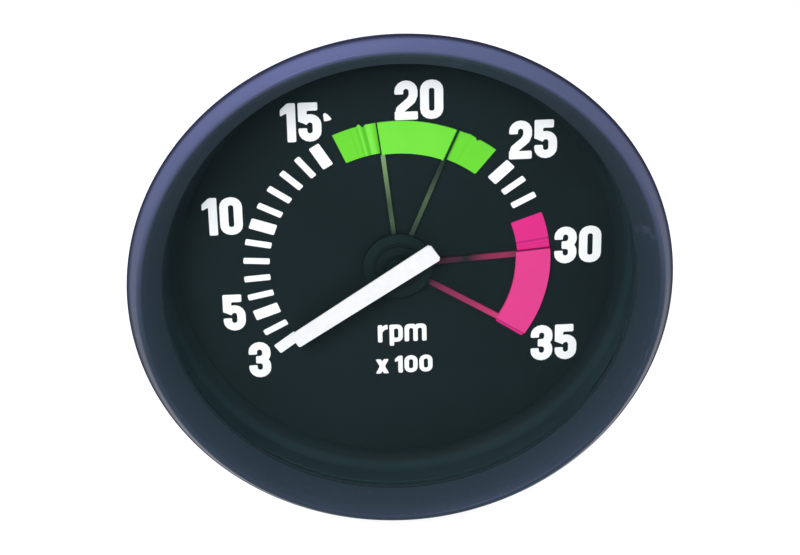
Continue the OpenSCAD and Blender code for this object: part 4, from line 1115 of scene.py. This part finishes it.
def paint_fleck(look, back, front):
    """A small fleck of white paint that lies on the dial."""
    outline = soft_corners([(x * MM, y * MM) for x, y in FLECK], look.fleck_corner)
    middle_x, middle_y = look.fleck_r * math.cos(look.fleck_turn), look.fleck_r * math.sin(look.fleck_turn)
    bm = bmesh.new()
    rows = [[bm.verts.new(place(middle_x + x, middle_y + y, z)) for x, y in outline] for z in (back, front)]
    span_rings(bm, rows)
    return piece_of("fleck", bm)


class TACHO_OT_dial(Operator):
    """Builds the dial plate's prints"""
    bl_idname = "tacho.dial"
    bl_label = "Dial and prints"

    def execute(self, context):
        look = context.scene.tacho_dial
        coat_nodes("dial_plate", "dial_feet")
        for node in ("scale_marks", "green_band", "red_band", "dial_numbers", "dial_lettering"):
            stand_in(printed(node, look.corner, NICKS.get(node, ())), node)
        fleck = paint_fleck(look, far("dial_numbers"), near("dial_numbers"))
        join_in(fleck, "dial_numbers", SLOT_OF["dial_numbers"])
        return {"FINISHED"}


class TACHO_OT_markers(Operator):
    """Builds the two sector markers and the stack that carries them"""
    bl_idname = "tacho.markers"
    bl_label = "Sector markers"

    def execute(self, context):
        coat_nodes("green_marker", "red_marker", "marker_washer", "marker_spring")
        soften_nodes({"marker_bush": 0.1, "marker_clip": 0.1})
        return {"FINISHED"}


class TACHO_OT_pointer(Operator):
    """Builds the pointer with its hub, shaft, stop arm and magnet"""
    bl_idname = "tacho.pointer"
    bl_label = "Pointer and shaft"

    def execute(self, context):
        edge = context.scene.tacho_pointer.edge / MM
        soften_nodes({
            "pointer_blade": edge, "pointer_hub": 0.15, "pointer_shaft": 0.1, "stop_arm": 0.1,
            "rotor_magnet": 0.25,
        })
        return {"FINISHED"}


# Movement and board


# How a wire's turn rises across its own width: place and height, as shares of the width and of half the wire
TURN_RISE = ((0.04, 0.6), (0.25, 0.9), (0.5, 1.0), (0.75, 0.9), (0.96, 0.6))
# The smallest round at a former's corners
LEAST_ROUND = 0.05 * MM


def wound_coil(bm, middle, width, half, low, high, thick, wire, sideways):
    """Adds a coil on a rectangular former; its turns lie side by side across its width."""
    turns = round(width / wire)
    rows = [(-width / 2, 0.0)]
    for i in range(turns):
        rows += [(-width / 2 + (i + at) * width / turns, thick - (1 - up) * wire / 2) for at, up in TURN_RISE]
    rows.append((width / 2, 0.0))
    corners = [(half, high, 0), (-half, high, 90), (-half, low, 180), (half, low, 270)]
    rings = []
    for across, height in rows:
        round_r = max(height, LEAST_ROUND)
        path = [p for u, z, turn in corners for p in arc(u, z, round_r, round_r, turn, turn + 90, 6)]
        along = middle + across
        rings.append([bm.verts.new(place(u, along, z) if sideways else place(along, u, z)) for u, z in path])
    span_rings(bm, rings, closed=True)


def winding(node, wire, sideways):
    """The two coils of one winding, wound turn by turn."""
    corners = [v.co for v in frame["nodes"][node].data.vertices]
    across = [abs(co.z if sideways else co.x) for co in corners]
    around = sorted({round(abs(co.x if sideways else co.z), 5) for co in corners})
    thick = around[-1] - around[0]
    low, high = far(node), near(node)
    width = max(across) - min(across)
    bm = bmesh.new()
    for side in SIDES:
        middle = side * (max(across) + min(across)) / 2
        wound_coil(bm, middle, width, around[0], low + thick, high - thick, thick, wire, sideways)
    return piece_of(node + "_form", bm, math.radians(70))


class TACHO_OT_movement(Operator):
    """Builds the movement: its plate, bobbins, windings, bearings and shield"""
    bl_idname = "tacho.movement"
    bl_label = "Movement"

    def execute(self, context):
        soften_nodes({
            "movement_frame": 0.2, "frame_screws": 0.08, "front_bobbin": 0.2, "rear_bobbin": 0.2,
            "winding_pins": 0.1, "front_bearing": 0.12, "rear_bearing": 0.12, "zero_magnet": 0.12,
            "shield_can": 0.15,
        })
        wire = context.scene.tacho_movement.wire
        stand_in(winding("inner_winding", wire, False), "inner_winding")
        stand_in(winding("outer_winding", wire, True), "outer_winding")
        return {"FINISHED"}


class TACHO_OT_board(Operator):
    """Builds the circuit board with its parts"""
    bl_idname = "tacho.board"
    bl_label = "Circuit board"

    def execute(self, context):
        coat_nodes("circuit_board")
        soften_nodes({
            "board_pillars": 0.2, "board_screws": 0.12, "driver_chip": 0.15, "capacitors": 0.35,
            "resistors": 0.1, "trimmer_body": 0.2, "trimmer_rotor": 0.1,
        })
        return {"FINISHED"}


# Rear


# A thread's depth as a share of its pitch, the bevel of its tip as a share of that depth, and its flanks
THREAD_DEPTH = 0.6
THREAD_BEVEL = 1.4
THREAD_SLOPE = 1.3
THREAD_FLAT = 0.15


def threaded_rod(bm, x, start, end, radius, pitch):
    """Adds a rod with a screw thread round it, from its collar to its bevelled tip."""
    depth = THREAD_DEPTH * pitch
    around, rows_per_turn = 32, 8
    rows = round(abs(end - start) / pitch * rows_per_turn)
    bevel = THREAD_BEVEL * depth
    rings = []
    for i in range(rows + 1):
        z = start + (end - start) * i / rows
        left = abs(end - z)
        ring = []
        for k in range(around):
            phase = (abs(z - start) / pitch + k / around) % 1.0
            groove = min(1.0, max(0.0, THREAD_SLOPE * abs(2 * phase - 1) - THREAD_FLAT))
            r = min(radius - depth * groove, radius - max(0.0, bevel - left))
            t = 2 * math.pi * k / around
            ring.append(bm.verts.new(place(x + r * math.cos(t), r * math.sin(t), z)))
        rings.append(ring)
    span_rings(bm, rings)


def hexagonal_collar(bm, x, start, end, flats, corner):
    """Adds a hexagonal collar whose outer face is bevelled to a circle."""
    around = 24
    rings = []
    for z, cut in ((start, False), (end + corner, False), (end, True)):
        ring = []
        for k in range(around):
            t = 2 * math.pi * k / around
            side = (t % (math.pi / 3)) - math.pi / 6
            r = flats / 2 / math.cos(side)
            if cut:
                r = min(r, flats / 2) - corner / 2
            ring.append(bm.verts.new(place(x + r * math.cos(t), r * math.sin(t), z)))
        rings.append(ring)
    span_rings(bm, rings)


def studs():
    """Both studs: threaded rod, hexagonal collar on the case's back, and the tail through it."""
    look = bpy.context.scene.tacho_case
    spacing = reach("mounting_studs") - look.collar_flats / math.cos(math.pi / 6) / 2
    case_back, tip, tail_end = far("case_shell"), far("mounting_studs"), near("mounting_studs")
    bm = bmesh.new()
    for side in SIDES:
        x = side * spacing
        collar_end = case_back - look.collar
        threaded_rod(bm, x, collar_end, tip, look.stud_r, look.pitch)
        hexagonal_collar(bm, x, case_back, collar_end, look.collar_flats, look.collar_bevel)
        tail = [(0, case_back), (look.tail_r, case_back), (look.tail_r, tail_end), (0, tail_end)]
        turn_into(bm, soft_corners(tail, look.tail_corner), 32, (x, 0))
    return piece_of("studs", bm)


class TACHO_OT_rear(Operator):
    """Builds the terminals, the studs with their nuts, and the plug"""
    bl_idname = "tacho.rear"
    bl_label = "Rear fittings"

    def execute(self, context):
        stand_in(studs(), "mounting_studs")
        soften_nodes({
            "stud_nuts": 0.2, "terminal_block": 0.4, "terminal_blades": 0.12, "terminal_rivets": 0.3,
            "trimmer_plug": 0.4,
        })
        return {"FINISHED"}


def bent_wire(bm, path, radius, sides=8):
    """Adds a round wire along a path, with closed ends."""
    rings = []
    level = (path[1] - path[0]).orthogonal()
    for i, point in enumerate(path):
        along = (path[min(i + 1, len(path) - 1)] - path[max(i - 1, 0)]).normalized()
        level = (level - along * level.dot(along)).normalized()
        steep = along.cross(level)
        turns = [2 * math.pi * k / sides for k in range(sides)]
        around = [math.cos(t) * level + math.sin(t) * steep for t in turns]
        rings.append([bm.verts.new(point + radius * outward) for outward in around])
    span_rings(bm, rings)


POST_R = 0.14 * MM
COIL_WIRE_R = 0.06 * MM


def filament(side):
    """Two posts that stand in the bulb's foot, with a coiled wire between them."""
    bulb = "lamp_bulb_" + side
    low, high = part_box(bulb)
    middle_x, middle_y = (low.x + high.x) / 2, (low.z + high.z) / 2
    ball_r = (high.x - low.x) / 2
    foot, top = far(bulb) + 1.5 * MM, near(bulb) - ball_r
    half, coil_r, turns, steps = 1.5 * MM, 0.35 * MM, 9, 10
    bm = bmesh.new()
    for k in SIDES:
        post = [place(middle_x + k * half, middle_y, foot + (top - foot) * i / 4) for i in range(5)]
        bent_wire(bm, post, POST_R)
    coil = []
    for i in range(turns * steps + 1):
        t = 2 * math.pi * i / steps
        x = middle_x - half + 2 * half * i / (turns * steps)
        coil.append(place(x, middle_y + coil_r * math.cos(t), top + coil_r * math.sin(t)))
    bent_wire(bm, coil, COIL_WIRE_R, 6)
    join_in(piece_of("filament_" + side, bm, math.radians(70)), bulb, "bright_steel")


class TACHO_OT_lamps(Operator):
    """Builds the two lamp holders with their contacts and bulbs"""
    bl_idname = "tacho.lamps"
    bl_label = "Lamps"

    def execute(self, context):
        for side in ("left", "right"):
            soften_nodes({"lamp_holder_" + side: 0.35, "lamp_contacts_" + side: 0.1})
            coat_nodes("lamp_bulb_" + side)
            filament(side)
        return {"FINISHED"}


# Stage


# The photograph's width in pixels, and the sensor's in millimetres
IMAGE_W = 800
SENSOR = 36
# How light the floor is for light that bounces, the shadow that it shows, and its own glow
FLOOR_PAPER = 0.45
FLOOR_LIT = 0.22
FLOOR_GLOW = 0.9
# Each lamp's name, place, width, power and tone
LAMPS = (
    ("key lamp", (-0.40, -0.85, 0.65), 0.5, 9.0, (1, 1, 1)),
    ("sky lamp", (-0.35, 0.35, 0.75), 1.0, 9.0, (0.71, 0.70, 1.0)),
    ("fill lamp", (0.7, -0.8, 0.55), 0.7, 2.6, (1, 1, 1)),
)


def seen_directly(shader):
    """One for what the camera, a reflection or a look through glass meets, and nought for other light."""
    path = shader.add("ShaderNodeLightPath").outputs
    either = shader.math("MAXIMUM", path["Is Camera Ray"], path["Is Glossy Ray"])
    return shader.math("MAXIMUM", either, path["Is Transmission Ray"])


def white_floor():
    """White ground that keeps a soft shadow of the object."""
    material, shader = new_material("white floor")
    paper = shader.add("ShaderNodeBsdfDiffuse", {"Color": 3 * (FLOOR_PAPER,)}).outputs[0]
    lit = shader.add("ShaderNodeBsdfDiffuse", {"Color": 3 * (FLOOR_LIT,)}).outputs[0]
    glow = shader.add("ShaderNodeEmission", {"Color": (1, 1, 1), "Strength": FLOOR_GLOW}).outputs[0]
    ground = shader.add("ShaderNodeAddShader", {0: lit, 1: glow}).outputs[0]
    shader.show(shader.blend(seen_directly(shader), paper, ground))
    return material


def add_lamp(name, spot, width, power, tone):
    """A soft square lamp that looks at the object."""
    lamp = bpy.data.lights.new(name, "AREA")
    lamp.size = width
    lamp.energy = power
    lamp.color = tone
    holder = bpy.data.objects.new(name, lamp)
    holder.location = spot
    holder.rotation_euler = (-Vector(spot)).to_track_quat("-Z", "Y").to_euler()
    bpy.context.scene.collection.objects.link(holder)


def add_camera(look):
    """The camera, at the photograph's angle and framing."""
    camera = bpy.data.cameras.new("camera")
    camera.lens = look.lens
    camera.sensor_width = SENSOR
    camera.shift_x = -look.right / IMAGE_W
    camera.shift_y = look.low / IMAGE_W
    camera.clip_start = 0.01
    ahead = Vector((math.sin(look.turn), -math.cos(look.turn), 0))
    back = math.cos(look.rise) * ahead + Vector((0, 0, math.sin(look.rise)))
    level = Vector((math.cos(look.turn), math.sin(look.turn), 0))
    steep = back.cross(level)
    right = math.cos(look.roll) * level + math.sin(look.roll) * steep
    upward = math.cos(look.roll) * steep - math.sin(look.roll) * level
    spot = place(0, 0, near("panel_gasket")) + look.distance * back
    holder = bpy.data.objects.new("camera", camera)
    holder.matrix_world = Matrix.Translation(spot) @ Matrix((right, upward, back)).transposed().to_4x4()
    bpy.context.scene.collection.objects.link(holder)
    bpy.context.scene.camera = holder


def add_floor(half):
    """The white floor, under the object's lowest point."""
    low = CAD_BOX[0][2]
    bm = bmesh.new()
    corners = [(-half, -half), (half, -half), (half, half), (-half, half)]
    bm.faces.new([bm.verts.new((x, y, low)) for x, y in corners])
    bmesh.ops.subdivide_edges(bm, edges=bm.edges, cuts=8, use_grid_fill=True)
    floor = piece_of("floor", bm)
    floor.data.materials.append(white_floor())


def set_world(ambient):
    """A world that is white where it is seen, and lights the object plainly from all round."""
    world = bpy.data.worlds.new("white surround")
    bpy.context.scene.world = world
    world.use_nodes = True
    world.node_tree.nodes.clear()
    shader = Shader(world.node_tree)
    strength = shader.spread(seen_directly(shader), 0.0, 1.0, ambient, 1.0)
    light = shader.add("ShaderNodeBackground", {"Color": (1, 1, 1), "Strength": strength})
    shader.add("ShaderNodeOutputWorld", {"Surface": light.outputs[0]})


class TACHO_OT_stage(Operator):
    """Sets the camera, the lamps, the white floor and the world"""
    bl_idname = "tacho.stage"
    bl_label = "Stage"

    def execute(self, context):
        look = context.scene.tacho_stage
        context.scene.view_settings.view_transform = "Standard"
        add_camera(look)
        for lamp in LAMPS:
            add_lamp(*lamp)
        add_floor(look.floor_size)
        set_world(look.ambient)
        return {"FINISHED"}


LOOKS = {
    "tacho_bezel": BezelLook, "tacho_glass": GlassLook, "tacho_dial": DialLook, "tacho_marker": MarkerLook,
    "tacho_pointer": PointerLook, "tacho_case": CaseLook, "tacho_movement": MovementLook,
    "tacho_stage": StageLook,
}
STEPS = (
    TACHO_OT_bezel, TACHO_OT_glass, TACHO_OT_case, TACHO_OT_dial, TACHO_OT_markers, TACHO_OT_pointer,
    TACHO_OT_movement, TACHO_OT_board, TACHO_OT_rear, TACHO_OT_lamps, TACHO_OT_stage,
)


class TACHO_PT_pieces(Panel):
    """Lists what builds the tachometer"""
    bl_idname = "TACHO_PT_pieces"
    bl_label = "Truck tachometer"
    bl_space_type = "VIEW_3D"
    bl_region_type = "UI"
    bl_category = "Tachometer"

    def draw(self, context):
        for step in STEPS:
            self.layout.operator(step.bl_idname)


def register():
    for kind in (*LOOKS.values(), *STEPS, TACHO_PT_pieces):
        bpy.utils.register_class(kind)
    for name, kind in LOOKS.items():
        setattr(bpy.types.Scene, name, PointerProperty(type=kind))


def unregister():
    for name in LOOKS:
        delattr(bpy.types.Scene, name)
    for kind in (*LOOKS.values(), *STEPS, TACHO_PT_pieces):
        bpy.utils.unregister_class(kind)


def main():
    """Builds every piece in order."""
    register()
    for step in STEPS:
        group, name = step.bl_idname.split(".")
        getattr(getattr(bpy.ops, group), name)()


if __name__ == "__main__":
    main()
